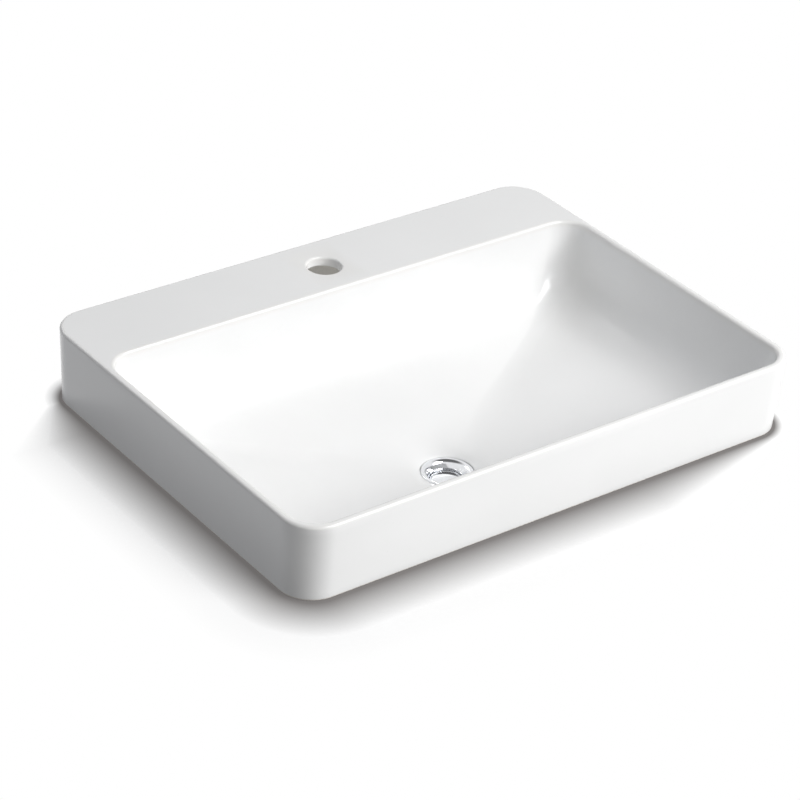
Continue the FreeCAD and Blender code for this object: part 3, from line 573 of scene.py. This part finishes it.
def pierced_faces(points, row_count, under_row, centre):
    """Faces of rows carried round the basin, with the tap hole's rings after them in the list of points.

    In the deck, between the last two rows, and below it a block of faces makes way for the hole, and the edge
    of each block is zipped to an end of the hole.
    """
    ring_count, half_block = 2 * ROUND_STEPS, 6
    first_ring = len(points) - ring_count * TURN_STEPS
    column_count = first_ring // row_count
    faces = grid_faces(row_count, column_count)
    hole_faces = first_ring + grid_faces(ring_count, TURN_STEPS, closed=False)
    block = LONG_STEPS // 2 + np.arange(-half_block, half_block + 1)
    keep = np.ones(faces.shape[:2], bool)
    ends = []
    for row, ring in ((row_count - 2, 0), (under_row, ring_count - 1)):
        keep[row, block[:-1]] = False
        edge = np.concatenate([row * column_count + block, (row + 1) * column_count + block])
        circle = first_ring + ring * TURN_STEPS + np.arange(TURN_STEPS)
        ends.append(zip_loops(points, circle, edge, centre))
    return [faces[keep], hole_faces.reshape(-1, 4), *ends]


def sway_of(points, amount):
    """Slow wander of a cast wall: three crossed sine waves, 180 to 370 mm long, in the line of each axis."""
    x, y, z = np.moveaxis(points, -1, 0)
    wave_x = np.sin(31 * y + 23 * z + 0.4) * np.sin(17 * z + 1.3)
    wave_y = np.sin(19 * x + 27 * z + 1.9) * np.sin(22 * z + 0.6)
    wave_z = np.sin(24 * x + 0.8) * np.sin(35 * y + 2.1)
    return points + amount * points_at(wave_x, wave_y, wave_z)


def ceramic_basin(basin, finish):
    """One closed glazed surface of rows carried round the basin, and the tap hole through its deck.

    The rows go from the rim down the bowl, under it, up the apron and back to the rim. With each goes its
    cover of glaze, and a one where the glaze is thin.
    """
    steps = round_steps()
    lip, inside, recess = bowl_rows(basin, steps)
    boss, shell, inner_apron = underside_rows(basin, steps)
    apron, outer_lip, flat = outside_rows(basin, steps)
    hole = tap_hole_rows(basin)
    bare, washed, whole = 0.0, 0.4, 1.0
    above = [(lip, whole, 1), (sway_of(inside, basin.sway), whole, 0), (recess, whole, 0)]
    below = [(boss, bare, 0), (shell, washed, 0)]
    round_about = [(inner_apron, washed, 0), (foot_rows(basin, steps), bare, 1),
                   (sway_of(apron, basin.sway), whole, 0), (outer_lip, whole, 1), (flat, whole, 0)]
    through = [(hole[:ROUND_STEPS], whole, 1), (hole[ROUND_STEPS:], whole, 0)]
    parts = above + below + round_about + through
    points = np.concatenate([rows.reshape(-1, 3) for rows, _, _ in parts])
    cover = np.concatenate([np.full(rows[..., 0].size, glaze) for rows, glaze, _ in parts])
    thin = np.concatenate([np.full(rows[..., 0].size, edge) for rows, _, edge in parts])
    under_row = sum(len(rows) for rows, _, _ in above + below) - 1
    row_count = sum(len(rows) for rows, _, _ in above + below + round_about)
    faces = pierced_faces(points, row_count, under_row, tap_centre(basin))
    values = {GLAZE_COVER: cover, THIN_GLAZE: thin}
    piece = put_mesh("ceramic_basin", points, faces, finish, attributes=values)
    dress(piece, "basin", "basin_body")


# Turned and hexagonal pieces of the waste

def rounded_profile(corners, steps=ARC_STEPS):
    """A closed profile with its corners rounded: each gives way to an arc that touches both its sides.

    A corner is a radius from the axis, a level and the radius of its arc. The arc turns evenly from the
    normal of one side to the normal of the other, about the point that is that radius away from both.
    """
    corners = np.asarray(corners, float)
    spot, radius = corners[:, None, :2], corners[:, None, 2:]
    to_last, to_next = np.roll(spot, 1, axis=0) - spot, np.roll(spot, -1, axis=0) - spot
    to_last /= np.linalg.norm(to_last, axis=-1, keepdims=True)
    to_next /= np.linalg.norm(to_next, axis=-1, keepdims=True)
    opening = np.arccos(np.clip((to_last * to_next).sum(axis=-1, keepdims=True), -1, 1))
    middle = to_last + to_next
    middle /= np.maximum(np.linalg.norm(middle, axis=-1, keepdims=True), TINY)
    centre = spot + middle * radius / np.sin(opening / 2)
    reach = radius / np.tan(opening / 2)
    first, last = spot + to_last * reach - centre, spot + to_next * reach - centre
    sweep = math.pi - opening
    part = np.linspace(0, 1, steps)[None, :, None]
    arc = (np.sin((1 - part) * sweep) * first + np.sin(part * sweep) * last) / np.maximum(np.sin(sweep), TINY)
    return (centre + arc).reshape(-1, 2)


def bar_profile(inner, outer, foot, top, inner_edge, outer_edge):
    """A rectangle with rounded corners, the section of a plain ring or bar."""
    return rounded_profile([(inner, foot, inner_edge), (outer, foot, outer_edge),
                            (outer, top, outer_edge), (inner, top, inner_edge)])


def turned(profile, steps=TURN_STEPS, ripple=None):
    """A profile carried round the drain's axis, with a ripple of its radius by level and turn."""
    turn = full_turn(steps)
    radius, level = profile[:, :1], profile[:, 1:]
    if ripple:
        radius = ripple(radius, level, turn)
    return rings(turn, radius, level), [grid_faces(len(profile), steps).reshape(-1, 4)]


def turned_piece(name, profile, finish, body, node):
    """A piece that is a plain turned profile."""
    dress(put_mesh(name, *turned(profile), finish, TURNED_SHARP), body, node)


def node_size(node):
    """Outer radius, foot and top of a node that stands round the drain's axis."""
    low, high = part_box(node)
    return min(high.x - low.x, high.y - low.y) / 2, low.z, high.z


def hexagon(flats, quarter_turned):
    """Cuts a turned profile to a hexagon: no radius passes half the flats over the nearest flat's cosine.

    A sum of high powers of the six cosines stands for the largest of them, which rounds the corners a little.
    """
    power = 90
    facing = np.arange(6) * math.pi / 3 + (math.pi / 6 if quarter_turned else 0)

    def ripple(radius, level, turn):
        cosines = np.maximum(np.cos(turn[:, None] - facing), 0)
        largest = (cosines ** power).sum(axis=1) ** (1 / power)
        return np.minimum(radius, flats / 2 / largest)
    return ripple


def hexagon_nut(node, bore, finish, lip=0.0, lip_bore=0.0):
    """A nut: a turned profile with both edges cut at thirty degrees, cut to a hexagon, and bored."""
    low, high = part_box(node)
    wide, deep, foot, top = high.x - low.x, high.y - low.y, low.z, high.z
    flats = min(wide, deep)
    corner = flats / math.sqrt(3)
    face_share = 0.985
    face = flats / 2 * face_share
    slope = (corner - face) * math.tan(math.radians(30))
    part = np.linspace(0, 1, CUT_STEPS)
    cut = np.stack([face + (corner - face) * part, slope * part], axis=-1)
    outer = np.concatenate([cut + [0, foot], cut[::-1] * [1, -1] + [0, top]])
    soft, entry = FINE_EDGE, ROUND_EDGE
    inner = [(bore + entry, top, 0), (bore, top - entry, 0)]
    if lip:
        inner += [(bore, foot + lip, soft), (lip_bore, foot + lip, soft), (lip_bore + soft, foot, soft)]
    else:
        inner += [(bore, foot + entry, 0), (bore + entry, foot, 0)]
    rounded = rounded_profile([*inner, (face, foot, 0), (face, top, 0)])
    profile = np.concatenate([rounded[:len(inner) * ARC_STEPS], outer])
    surface = turned(profile, 6 * FLAT_STEPS, hexagon(flats, wide > deep))
    piece = put_mesh(node + "_hexagon", *surface, finish, NUT_SHARP)
    dress(piece, "basin", node)


def thread(waste, low, high):
    """A screw thread: the radius falls by the depth and back, as a wave of level and turn, and runs out.

    The wave is a triangle with its crests and its roots cut flat.
    """
    flat, near = 2 / 9, 1e-5

    def ripple(radius, level, turn):
        wave = np.abs(2 * np.mod(level / waste.thread_pitch - turn / math.tau, 1) - 1)
        groove = np.clip((1 - flat - wave) / (1 - 2 * flat), 0, 1)
        run_out = np.clip(np.minimum(level - low, high - level) / waste.thread_pitch, 0, 1)
        on_barrel = np.abs(radius - waste.barrel_radius) < near
        return radius - on_barrel * run_out * groove * waste.thread_depth
    return ripple


def spider_arm(waste, turn, foot, top):
    """One arm of the spider: a rounded bar's section carried straight out from the hub to the barrel."""
    half, soft = waste.arm_width / 2, waste.arm_width / 4
    section = bar_profile(-half, half, foot, top, soft, soft)
    reach = np.array([waste.hub_radius - soft, waste.throat_radius + soft])[:, None]
    x = DRAIN[0] + reach * math.cos(turn) - section[:, 0] * math.sin(turn)
    y = DRAIN[1] + reach * math.sin(turn) + section[:, 0] * math.cos(turn)
    count = len(section)
    ends = np.stack([np.arange(count)[::-1], count + np.arange(count)])
    return points_at(x, y, section[:, 1]), [grid_faces(2, count, closed=False).reshape(-1, 4), ends]


def waste_fitting(waste, finish):
    """Flange, funnel, neck, threaded barrel and spider of the waste, each a profile carried round or out."""
    flange, foot, top = node_size("waste_body")
    under = top - waste.flange_thickness
    neck_foot = under - waste.neck_length
    throat_round, flange_round = 0.0015, 0.0008
    upper = [
        (waste.throat_radius, top - waste.funnel_depth, throat_round),
        (waste.mouth_radius, top, waste.mouth_round),
        (flange, top - waste.flange_crown, flange_round),
        (flange, under, FINE_EDGE),
        (waste.neck_radius, under, FINE_EDGE),
        (waste.neck_radius, neck_foot, SOFT_EDGE),
        (waste.barrel_radius, neck_foot, 0),
    ]
    lower = [(waste.barrel_radius, foot, ROUND_EDGE), (waste.throat_radius, foot, PLAIN_EDGE)]
    wall = rounded_profile(upper + lower)
    rows = int((neck_foot - foot) / waste.thread_pitch * PITCH_ROWS)
    level = np.linspace(neck_foot - waste.thread_depth, foot + waste.thread_depth, rows)
    turns = np.stack([np.full(rows, waste.barrel_radius), level], axis=-1)
    to_barrel = len(upper) * ARC_STEPS
    profile = np.concatenate([wall[:to_barrel], turns, wall[to_barrel:]])
    barrel = turned(profile, ripple=thread(waste, foot, neck_foot))
    hub_foot = foot + waste.hub_level
    hub_top = hub_foot + waste.hub_height
    hub = bar_profile(waste.hub_bore, waste.hub_radius, hub_foot, hub_top, SOFT_EDGE, SOFT_EDGE)
    arms = [spider_arm(waste, quarter * math.pi / 2, hub_foot, hub_top) for quarter in range(4)]
    surface = join_surfaces(barrel, turned(hub, TURN_STEPS // 2), *arms)
    piece = put_mesh("waste_fitting", *surface, finish, TURNED_SHARP)
    dress(piece, "basin", "waste_body")


def stopper_cap(waste, finish):
    """Crowned cap of the stopper: a low dome on a rounded skirt, turned from the axis out and back."""
    radius, foot, top = node_size("stopper_cap")
    edge_round, edge_fall = 0.0011, 0.0001
    part = np.linspace(0, 1, ARC_STEPS)
    edge = top - waste.cap_crown
    flat = radius - edge_round - edge_fall
    dome = np.stack([flat * part, edge + waste.cap_crown * (1 - part ** 2)], axis=-1)
    skirt = rounded_profile([(0, edge, 0), (radius, edge - edge_fall, edge_round), (radius, foot, SOFT_EDGE),
                             (0, foot, 0)])
    profile = np.concatenate([dome, skirt[ARC_STEPS:-ARC_STEPS], [[0, foot]]])
    turned_piece("stopper_cap_crowned", profile, finish, "stopper", "stopper_cap")


def tail_tube(waste, finish):
    """Tail pipe: a thin turned wall with a collar at its top, and an end with its burr taken off."""
    collar, foot, top = node_size("tail_pipe")
    pipe = waste.pipe_radius
    bore, waist = pipe - waste.pipe_wall, pipe - waste.waist_depth
    under = top - waste.pipe_collar
    shoulder = under - waste.waist_length
    profile = rounded_profile([
        (bore, foot, FINE_EDGE),
        (pipe, foot, SOFT_EDGE),
        (pipe, shoulder, FINEST_EDGE),
        (waist, shoulder - waste.waist_depth / 2, 0),
        (waist, under, FINEST_EDGE),
        (collar, under, PLAIN_EDGE),
        (collar, top, PLAIN_EDGE),
        (bore, top, ROUND_EDGE),
    ])
    turned_piece("tail_tube", profile, finish, "basin", "tail_pipe")


def gasket_ring(waste, finish):
    """Tapered gasket: a turned ring with a flat foot and a spigot that centres it in the drain hole."""
    radius, foot, top = node_size("tapered_gasket")
    bore, spigot = waste.gasket_bore, waste.spigot_radius
    shoulder = top - waste.gasket_spigot
    foot_round, shoulder_round = 0.0009, 0.0012
    profile = rounded_profile([
        (bore, foot, PLAIN_EDGE),
        (radius, foot, foot_round),
        (radius, shoulder, shoulder_round),
        (spigot, shoulder, PLAIN_EDGE),
        (spigot, top, PLAIN_EDGE),
        (bore, top, FINE_EDGE),
    ])
    turned_piece("gasket_ring", profile, finish, "basin", "tapered_gasket")


def slip_ring(waste, finish):
    """Slip washer: a flat turned ring with softened edges."""
    radius, foot, top = node_size("slip_washer")
    profile = bar_profile(waste.gasket_bore, radius, foot, top, PLAIN_EDGE, ROUND_EDGE)
    turned_piece("slip_ring", profile, finish, "basin", "slip_washer")


# Finishes

class Wiring:
    """Short ways to add nodes to a node tree."""

    def __init__(self, tree):
        self.nodes = tree.nodes
        self.links = tree.links

    def add(self, kind, inputs=None, **settings):
        """A node with its settings and its inputs, which are values or other nodes' outputs."""
        node = self.nodes.new(kind)
        for setting, value in settings.items():
            setattr(node, setting, value)
        for socket, value in (inputs or {}).items():
            if isinstance(value, bpy.types.NodeSocket):
                self.links.new(value, node.inputs[socket])
            else:
                node.inputs[socket].default_value = value
        return node

    def spread(self, value, low, high, start=0.3, end=0.7):
        """Carries a value between start and end to one between low and high."""
        inputs = {"Value": value, "From Min": start, "From Max": end, "To Min": low, "To Max": high}
        return self.add("ShaderNodeMapRange", inputs).outputs["Result"]

    def work_out(self, operation, first, second):
        """Result of one operation on two values."""
        return self.add("ShaderNodeMath", {0: first, 1: second}, operation=operation).outputs[0]

    def seen_directly(self):
        """One for rays from the camera and those that metal or glass send on, nought for spread light."""
        path = self.add("ShaderNodeLightPath").outputs
        metal = self.work_out("MAXIMUM", path["Is Camera Ray"], path["Is Glossy Ray"])
        return self.work_out("MAXIMUM", metal, path["Is Transmission Ray"])


class Finish(Wiring):
    """A new material with its shader, and short ways to shape it."""

    def __init__(self, name, **constants):
        self.material = bpy.data.materials.new(name)
        self.material.use_nodes = True
        super().__init__(self.material.node_tree)
        self.shader = self.nodes["Principled BSDF"]
        self.place = self.add("ShaderNodeTexCoord").outputs["Object"]
        for socket, value in constants.items():
            self.shader.inputs[socket].default_value = value

    def noise(self, scale, detail=2.0, rough=0.5, stretch=None):
        """Cloudy pattern on the piece's own coordinates; scale is in clouds to the metre."""
        place = self.place
        if stretch:
            place = self.add("ShaderNodeMapping", {"Vector": place, "Scale": stretch}).outputs["Vector"]
        inputs = {"Vector": place, "Scale": scale, "Detail": detail, "Roughness": rough}
        return self.add("ShaderNodeTexNoise", inputs).outputs["Fac"]

    def tint(self, part, first, second):
        """Mixes two colours, or two outputs that carry colours."""
        return self.add("ShaderNodeMix", {0: part, 6: first, 7: second}, data_type="RGBA").outputs[2]

    def mottle(self, pattern, tone, low, high):
        """A colour that a pattern carries from one share of itself to another."""
        return self.tint(self.spread(pattern, 0, 1), shade(tone, low), shade(tone, high))

    def mix(self, part, first, second):
        """Mixes two shaders."""
        return self.add("ShaderNodeMixShader", {0: part, 1: first, 2: second}).outputs[0]

    def attribute(self, name):
        """A value that the mesh carries at its points."""
        return self.add("ShaderNodeAttribute", attribute_name=name).outputs["Fac"]

    def bump(self, height, distance, strength, under=None):
        """Turns a height into the lie of the surface, on top of another lie where one is given."""
        inputs = {"Height": height, "Distance": distance, "Strength": strength}
        if under is not None:
            inputs["Normal"] = under
        return self.add("ShaderNodeBump", inputs).outputs["Normal"]

    def wire(self, tone, rough, normal):
        """Joins colour, roughness and lie to the shader and returns the material."""
        for socket, output in (("Base Color", tone), ("Roughness", rough), ("Normal", normal)):
            self.links.new(output, self.shader.inputs[socket])
        return self.material


def shade(tone, amount=1.0):
    """A colour with every channel multiplied, as red, green, blue and cover."""
    return (*(channel * amount for channel in tone), 1.0)


def glazed_ceramic(colours):
    """White glaze with faint clouding, pin specks and a soft ripple; bare clay where the glaze stops."""
    finish = Finish("glazed_ceramic")
    cover = finish.attribute(GLAZE_COVER)
    thin = finish.attribute(THIN_GLAZE)
    white = finish.mottle(finish.noise(9, 3), colours.glaze, 0.985, 1.01)
    speck = finish.spread(finish.noise(850, 1), 0, 0.35, 0.76, 0.84)
    white = finish.tint(speck, white, shade(colours.biscuit, 0.75))
    warm = finish.tint(finish.work_out("MULTIPLY", thin, 0.18), white, shade(colours.biscuit, 1.08))
    grit = finish.noise(320, 4, 0.6)
    clay = finish.mottle(grit, colours.biscuit, 0.86, 1.04)
    polish = finish.spread(finish.noise(38, 3), 0.16, 0.24)
    dull = finish.spread(grit, 0.72, 0.88)
    rough = finish.spread(cover, dull, polish, 0, 1)
    ripple = finish.bump(finish.noise(70), 0.00012, 0.5)
    peel = finish.bump(finish.noise(420), 0.000025, 0.5, ripple)
    return finish.wire(finish.tint(cover, clay, warm), rough, peel)


def chrome_plate(colours):
    """Polished plate: clear reflections, softened by faint wiping marks and dried water."""
    finish = Finish("chrome_plate", Metallic=1.0)
    tone = finish.mottle(finish.noise(140, 4, 0.6), colours.chrome, 0.93, 1.0)
    wipe = finish.noise(500, 3, 0.55, (1.0, 0.18, 1.0))
    wave = finish.bump(finish.noise(110), 0.00004, 0.4)
    return finish.wire(tone, finish.spread(wipe, 0.05, 0.14), wave)


def turned_brass(colours):
    """Turned brass: rings left by the tool, and patches that have dulled."""
    finish = Finish("turned_brass", Metallic=1.0)
    patch = finish.noise(120, 4, 0.6)
    tone = finish.mottle(patch, colours.brass, 0.72, 1.05)
    marks = finish.noise(260, 2, 0.5, (0.06, 0.06, 9.0))
    return finish.wire(tone, finish.spread(patch, 0.42, 0.24), finish.bump(marks, 0.00006, 0.6))


def drawn_wire(colours):
    """Spring wire: bright, with fine marks along the draw."""
    finish = Finish("drawn_wire", Metallic=1.0)
    marks = finish.noise(2400, 3, 0.6, (1.0, 1.0, 0.2))
    tone = finish.mottle(marks, colours.steel, 0.82, 1.06)
    return finish.wire(tone, finish.spread(marks, 0.22, 0.38), finish.bump(marks, 0.00002, 0.5))


def moulded_rubber(colours):
    """Black rubber: dull, finely grained, with a pale bloom in places."""
    finish = Finish("moulded_rubber")
    bloom = finish.noise(75, 4, 0.6)
    grain = finish.noise(1800, 3, 0.6)
    tone = finish.mottle(bloom, colours.rubber, 0.8, 1.9)
    return finish.wire(tone, finish.spread(bloom, 0.52, 0.74), finish.bump(grain, 0.00008, 0.6))


def moulded_plastic(name, plain, low, high):
    """Moulded plastic: a fine even grain, and slight changes of tone where it flowed."""
    finish = Finish(name)
    flow = finish.noise(60, 3, 0.55)
    grain = finish.noise(1500)
    tone = finish.mottle(flow, plain, 0.92, 1.05)
    return finish.wire(tone, finish.spread(flow, low, high), finish.bump(grain, 0.00004, 0.5))


def white_moulding(colours):
    """White plastic of the slip washer and of the click cartridge."""
    return moulded_plastic("white_moulding", colours.white_plastic, 0.34, 0.5)


def dark_moulding(colours):
    """Dark plastic of the stopper's core and of the cartridge's sleeve."""
    return moulded_plastic("dark_moulding", colours.dark_plastic, 0.38, 0.55)


def finish_by(maker):
    """The finish that bears its maker's name, from an earlier step or made now from the user's colours."""
    return bpy.data.materials.get(maker.__name__) or maker(bpy.context.scene.basin_colours)


def paint_node(node, finish):
    """Gives a node that is shown as it is a finish in every slot of its own."""
    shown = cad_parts[node]
    if not shown.material_slots:
        shown.data.materials.append(finish)
    for slot in shown.material_slots:
        slot.material = finish


# Studio

def around(turn, rise):
    """Direction from the basin, from a turn off straight in front and a rise above the counter."""
    return Vector((math.sin(turn) * math.cos(rise), -math.cos(turn) * math.cos(rise), math.sin(rise)))


def soft_lamp(name, power, turn, rise, distance, width, tone=WHITE, mirrored=True):
    """A square lamp that faces the basin, at a turn and a rise in degrees; glaze and metal may mirror it."""
    lamp = bpy.data.lights.new(name, "AREA")
    lamp.shape = "SQUARE"
    lamp.size = width
    lamp.energy = power
    lamp.color = tone
    stand = bpy.data.objects.new(name, lamp)
    away = around(math.radians(turn), math.radians(rise))
    stand.location = away * distance
    stand.rotation_euler = away.to_track_quat("Z", "Y").to_euler()
    stand.visible_glossy = mirrored
    bpy.context.scene.collection.objects.link(stand)


def beyond_basin(finish, corner):
    """Distance from the basin's outline along the floor: length(max(|place| - half + corner, 0)) - corner."""
    def vector(operation, first, second=(0.0, 0.0, 0.0)):
        return finish.add("ShaderNodeVectorMath", {0: first, 1: second}, operation=operation).outputs
    inner = (BASIN_HIGH.x - corner, BASIN_HIGH.y - corner, 1.0)
    excess = vector("SUBTRACT", vector("ABSOLUTE", finish.place)[0], inner)[0]
    length = vector("LENGTH", vector("MAXIMUM", excess)[0])["Value"]
    return finish.work_out("SUBTRACT", length, corner)


def shade_reach(finish, place):
    """Distance over which the floor's painted shadow fades: the lesser of two, shrinking to the right and the
    back.
    """
    right = finish.spread(place["X"], NEAR_SHADE, FAR_SHADE, RIGHT_START, RIGHT_END)
    back = finish.spread(place["Y"], NEAR_SHADE, FAR_SHADE, BACK_START, BACK_END)
    return finish.work_out("MINIMUM", right, back)


def floor_finish(basin, studio):
    """Pale floor: painted shadow by the basin, white beyond, a grey glow for spread light with painted shadow
    at the left, clear from below.
    """
    finish = Finish("pale_floor")
    finish.nodes.remove(finish.shader)
    place = finish.add("ShaderNodeSeparateXYZ", {0: finish.place}).outputs
    reach = shade_reach(finish, place)
    distance = beyond_basin(finish, basin.corner_radius)
    # Painted shadow: the colour runs from the dark tone at the foot to white over the reach, set by distance
    # alone
    shown = finish.tint(finish.spread(distance, 0, 1, 0, reach), shade(studio.contact_tone), shade(WHITE))
    matt = finish.add("ShaderNodeBsdfDiffuse", {"Color": shown}).outputs[0]
    glow = finish.add("ShaderNodeEmission", {"Color": shown}).outputs[0]
    # Share of the painted shadow that glows by itself instead of taking the lamps' light, rising to the whole
    # floor past the fade
    even = finish.spread(distance, SHADE_GLOW, 1, reach, finish.work_out("MULTIPLY", reach, SHADE_FADE))
    # Painted shadow: for spread light the floor glows at a fixed strength in place of the light it throws
    # back, dimmer at its left
    left = BASIN_LOW.x
    bounce = finish.spread(place["X"], studio.left_bounce, studio.floor_bounce,
                           left, left + basin.corner_radius)
    thrown_glow = finish.add("ShaderNodeEmission", {"Strength": bounce}).outputs[0]
    top = finish.mix(finish.seen_directly(), thrown_glow, finish.mix(even, matt, glow))
    clear = finish.add("ShaderNodeBsdfTransparent").outputs[0]
    behind = finish.add("ShaderNodeNewGeometry").outputs["Backfacing"]
    surface = finish.mix(behind, top, clear)
    finish.links.new(surface, finish.nodes["Material Output"].inputs["Surface"])
    return finish.material


def counter_floor(basin, studio):
    """Flat floor at the counter's level: outlines that grow from a cut-out below the apron to its edge."""
    half, back, front, radius = apron_at(basin, 0.0, basin.foot_round)
    grow = FLOOR_REACH * np.array([0, 1 / 4, 1])[:, None]
    rows = outlines(round_steps(), half + grow, back + grow, front - grow, radius + grow, 0.0 * grow)
    faces = grid_faces(len(rows), rows.shape[1], closed=False).reshape(-1, 4)
    put_mesh("counter_floor", rows, [faces], floor_finish(basin, studio), solid=False)


def sky(studio):
    """White where it is seen or mirrored, but for a dark ceiling; else a soft fill, stronger from below."""
    world = bpy.data.worlds.new("studio_sky")
    bpy.context.scene.world = world
    world.use_nodes = True
    wiring = Wiring(world.node_tree)
    direction = wiring.add("ShaderNodeTexCoord").outputs["Generated"]
    rise = wiring.add("ShaderNodeSeparateXYZ", {0: direction}).outputs["Z"]
    horizon = 0.02
    fill = wiring.spread(rise, studio.under_strength, studio.sky_strength, -horizon, horizon)
    start, end = math.sin(studio.ceiling_start), math.sin(studio.ceiling_end)
    surround = wiring.spread(rise, 1, studio.ceiling_tone, start, end)
    strength = wiring.spread(wiring.seen_directly(), fill, surround, 0, 1)
    background = wiring.nodes["Background"]
    background.inputs["Color"].default_value = shade(WHITE)
    wiring.links.new(strength, background.inputs["Strength"])


def camera(studio):
    """Camera on a sphere round its view point: turn, rise and roll give its axes."""
    back, roll = around(studio.view_turn, studio.view_rise), studio.view_roll
    right = Vector((0, 0, 1)).cross(back).normalized()
    up = back.cross(right)
    tilted_right = right * math.cos(roll) + up * math.sin(roll)
    tilted_up = up * math.cos(roll) - right * math.sin(roll)
    lens = bpy.data.cameras.new("view")
    lens.lens = studio.lens
    lens.sensor_width = 36.0
    lens.clip_end = 50.0
    stand = bpy.data.objects.new("view", lens)
    axes = Matrix((tilted_right, tilted_up, back)).transposed().to_4x4()
    stand.matrix_world = Matrix.Translation(Vector(studio.view_point) + back * studio.view_distance) @ axes
    bpy.context.scene.collection.objects.link(stand)
    bpy.context.scene.camera = stand


# Operators and panel

class BASIN_OT_ceramic(bpy.types.Operator):
    """Makes the glazed ceramic basin"""

    bl_idname = "basin.ceramic"
    bl_label = "Ceramic basin"

    def execute(self, context):
        ceramic_basin(context.scene.basin_sizes, finish_by(glazed_ceramic))
        return {"FINISHED"}


class BASIN_OT_waste(bpy.types.Operator):
    """Makes the chrome waste fitting, the stopper's cap and the tail pipe"""

    bl_idname = "basin.waste"
    bl_label = "Waste, cap and tail pipe"

    def execute(self, context):
        for make in (waste_fitting, stopper_cap, tail_tube):
            make(context.scene.basin_waste, finish_by(chrome_plate))
        return {"FINISHED"}


class BASIN_OT_nuts(bpy.types.Operator):
    """Makes the brass back nut and the chrome tail nut"""

    bl_idname = "basin.nuts"
    bl_label = "Nuts"

    def execute(self, context):
        waste = context.scene.basin_waste
        hexagon_nut("back_nut", waste.nut_bore, finish_by(turned_brass))
        hexagon_nut("tail_nut", waste.nut_bore, finish_by(chrome_plate),
                    waste.nut_lip, waste.lip_bore)
        return {"FINISHED"}


class BASIN_OT_seals(bpy.types.Operator):
    """Makes the gasket and the slip washer below the bowl"""

    bl_idname = "basin.seals"
    bl_label = "Gasket and washer"

    def execute(self, context):
        waste = context.scene.basin_waste
        gasket_ring(waste, finish_by(moulded_rubber))
        slip_ring(waste, finish_by(white_moulding))
        return {"FINISHED"}


class BASIN_OT_works(bpy.types.Operator):
    """Finishes the pieces of the click cartridge and the hidden seals"""

    bl_idname = "basin.works"
    bl_label = "Click cartridge"

    def execute(self, context):
        finishes = {
            moulded_rubber: ("flange_seal", "tail_seal", "stopper_seal"),
            turned_brass: ("stem_nut", "plunger"),
            drawn_wire: ("return_spring",),
            white_moulding: ("cartridge_collar", "latch_rotor"),
            dark_moulding: ("stopper_core", "cartridge_sleeve"),
        }
        for maker, nodes in finishes.items():
            for node in nodes:
                paint_node(node, finish_by(maker))
        return {"FINISHED"}


class BASIN_OT_studio(bpy.types.Operator):
    """Lays the floor and sets the lamps, the sky and the camera"""

    bl_idname = "basin.studio"
    bl_label = "Studio"

    def execute(self, context):
        scene = context.scene
        studio = scene.basin_studio
        scene.view_settings.view_transform = "Standard"
        counter_floor(scene.basin_sizes, studio)
        soft_lamp("key_lamp", studio.key_power, turn=28, rise=42, distance=3.4, width=2.1)
        soft_lamp("back_lamp", studio.back_power, turn=-172, rise=36, distance=4.0, width=1.8)
        soft_lamp("side_lamp", studio.side_power, turn=-130, rise=25, distance=4.0, width=1.8, tone=COOL,
                  mirrored=False)
        sky(studio)
        camera(studio)
        return {"FINISHED"}


class BASIN_PT_builder(bpy.types.Panel):
    """Sidebar panel with the steps and the sizes."""

    bl_idname = "BASIN_PT_builder"
    bl_label = "Countertop basin"
    bl_space_type = "VIEW_3D"
    bl_region_type = "UI"
    bl_category = "Basin"

    def draw(self, context):
        layout = self.layout
        for step in STEPS:
            layout.operator(step.bl_idname)
        for label, group in GROUPS.items():
            box = layout.box()
            box.label(text=group.__doc__)
            settings = getattr(context.scene, label)
            for setting in group.__annotations__:
                box.prop(settings, setting)


GROUPS = {
    "basin_sizes": BasinSizes,
    "basin_waste": WasteSizes,
    "basin_colours": FinishColours,
    "basin_studio": StudioSettings,
}
STEPS = (BASIN_OT_ceramic, BASIN_OT_waste, BASIN_OT_nuts, BASIN_OT_seals, BASIN_OT_works, BASIN_OT_studio)


def register():
    for group in GROUPS.values():
        bpy.utils.register_class(group)
    for label, group in GROUPS.items():
        setattr(bpy.types.Scene, label, PointerProperty(type=group))
    for step in STEPS:
        bpy.utils.register_class(step)
    bpy.utils.register_class(BASIN_PT_builder)


def unregister():
    bpy.utils.unregister_class(BASIN_PT_builder)
    for step in reversed(STEPS):
        bpy.utils.unregister_class(step)
    for label, group in GROUPS.items():
        delattr(bpy.types.Scene, label)
        bpy.utils.unregister_class(group)


def main():
    register()
    bpy.ops.basin.ceramic()
    bpy.ops.basin.waste()
    bpy.ops.basin.nuts()
    bpy.ops.basin.seals()
    bpy.ops.basin.works()
    bpy.ops.basin.studio()


if __name__ == "__main__":
    main()
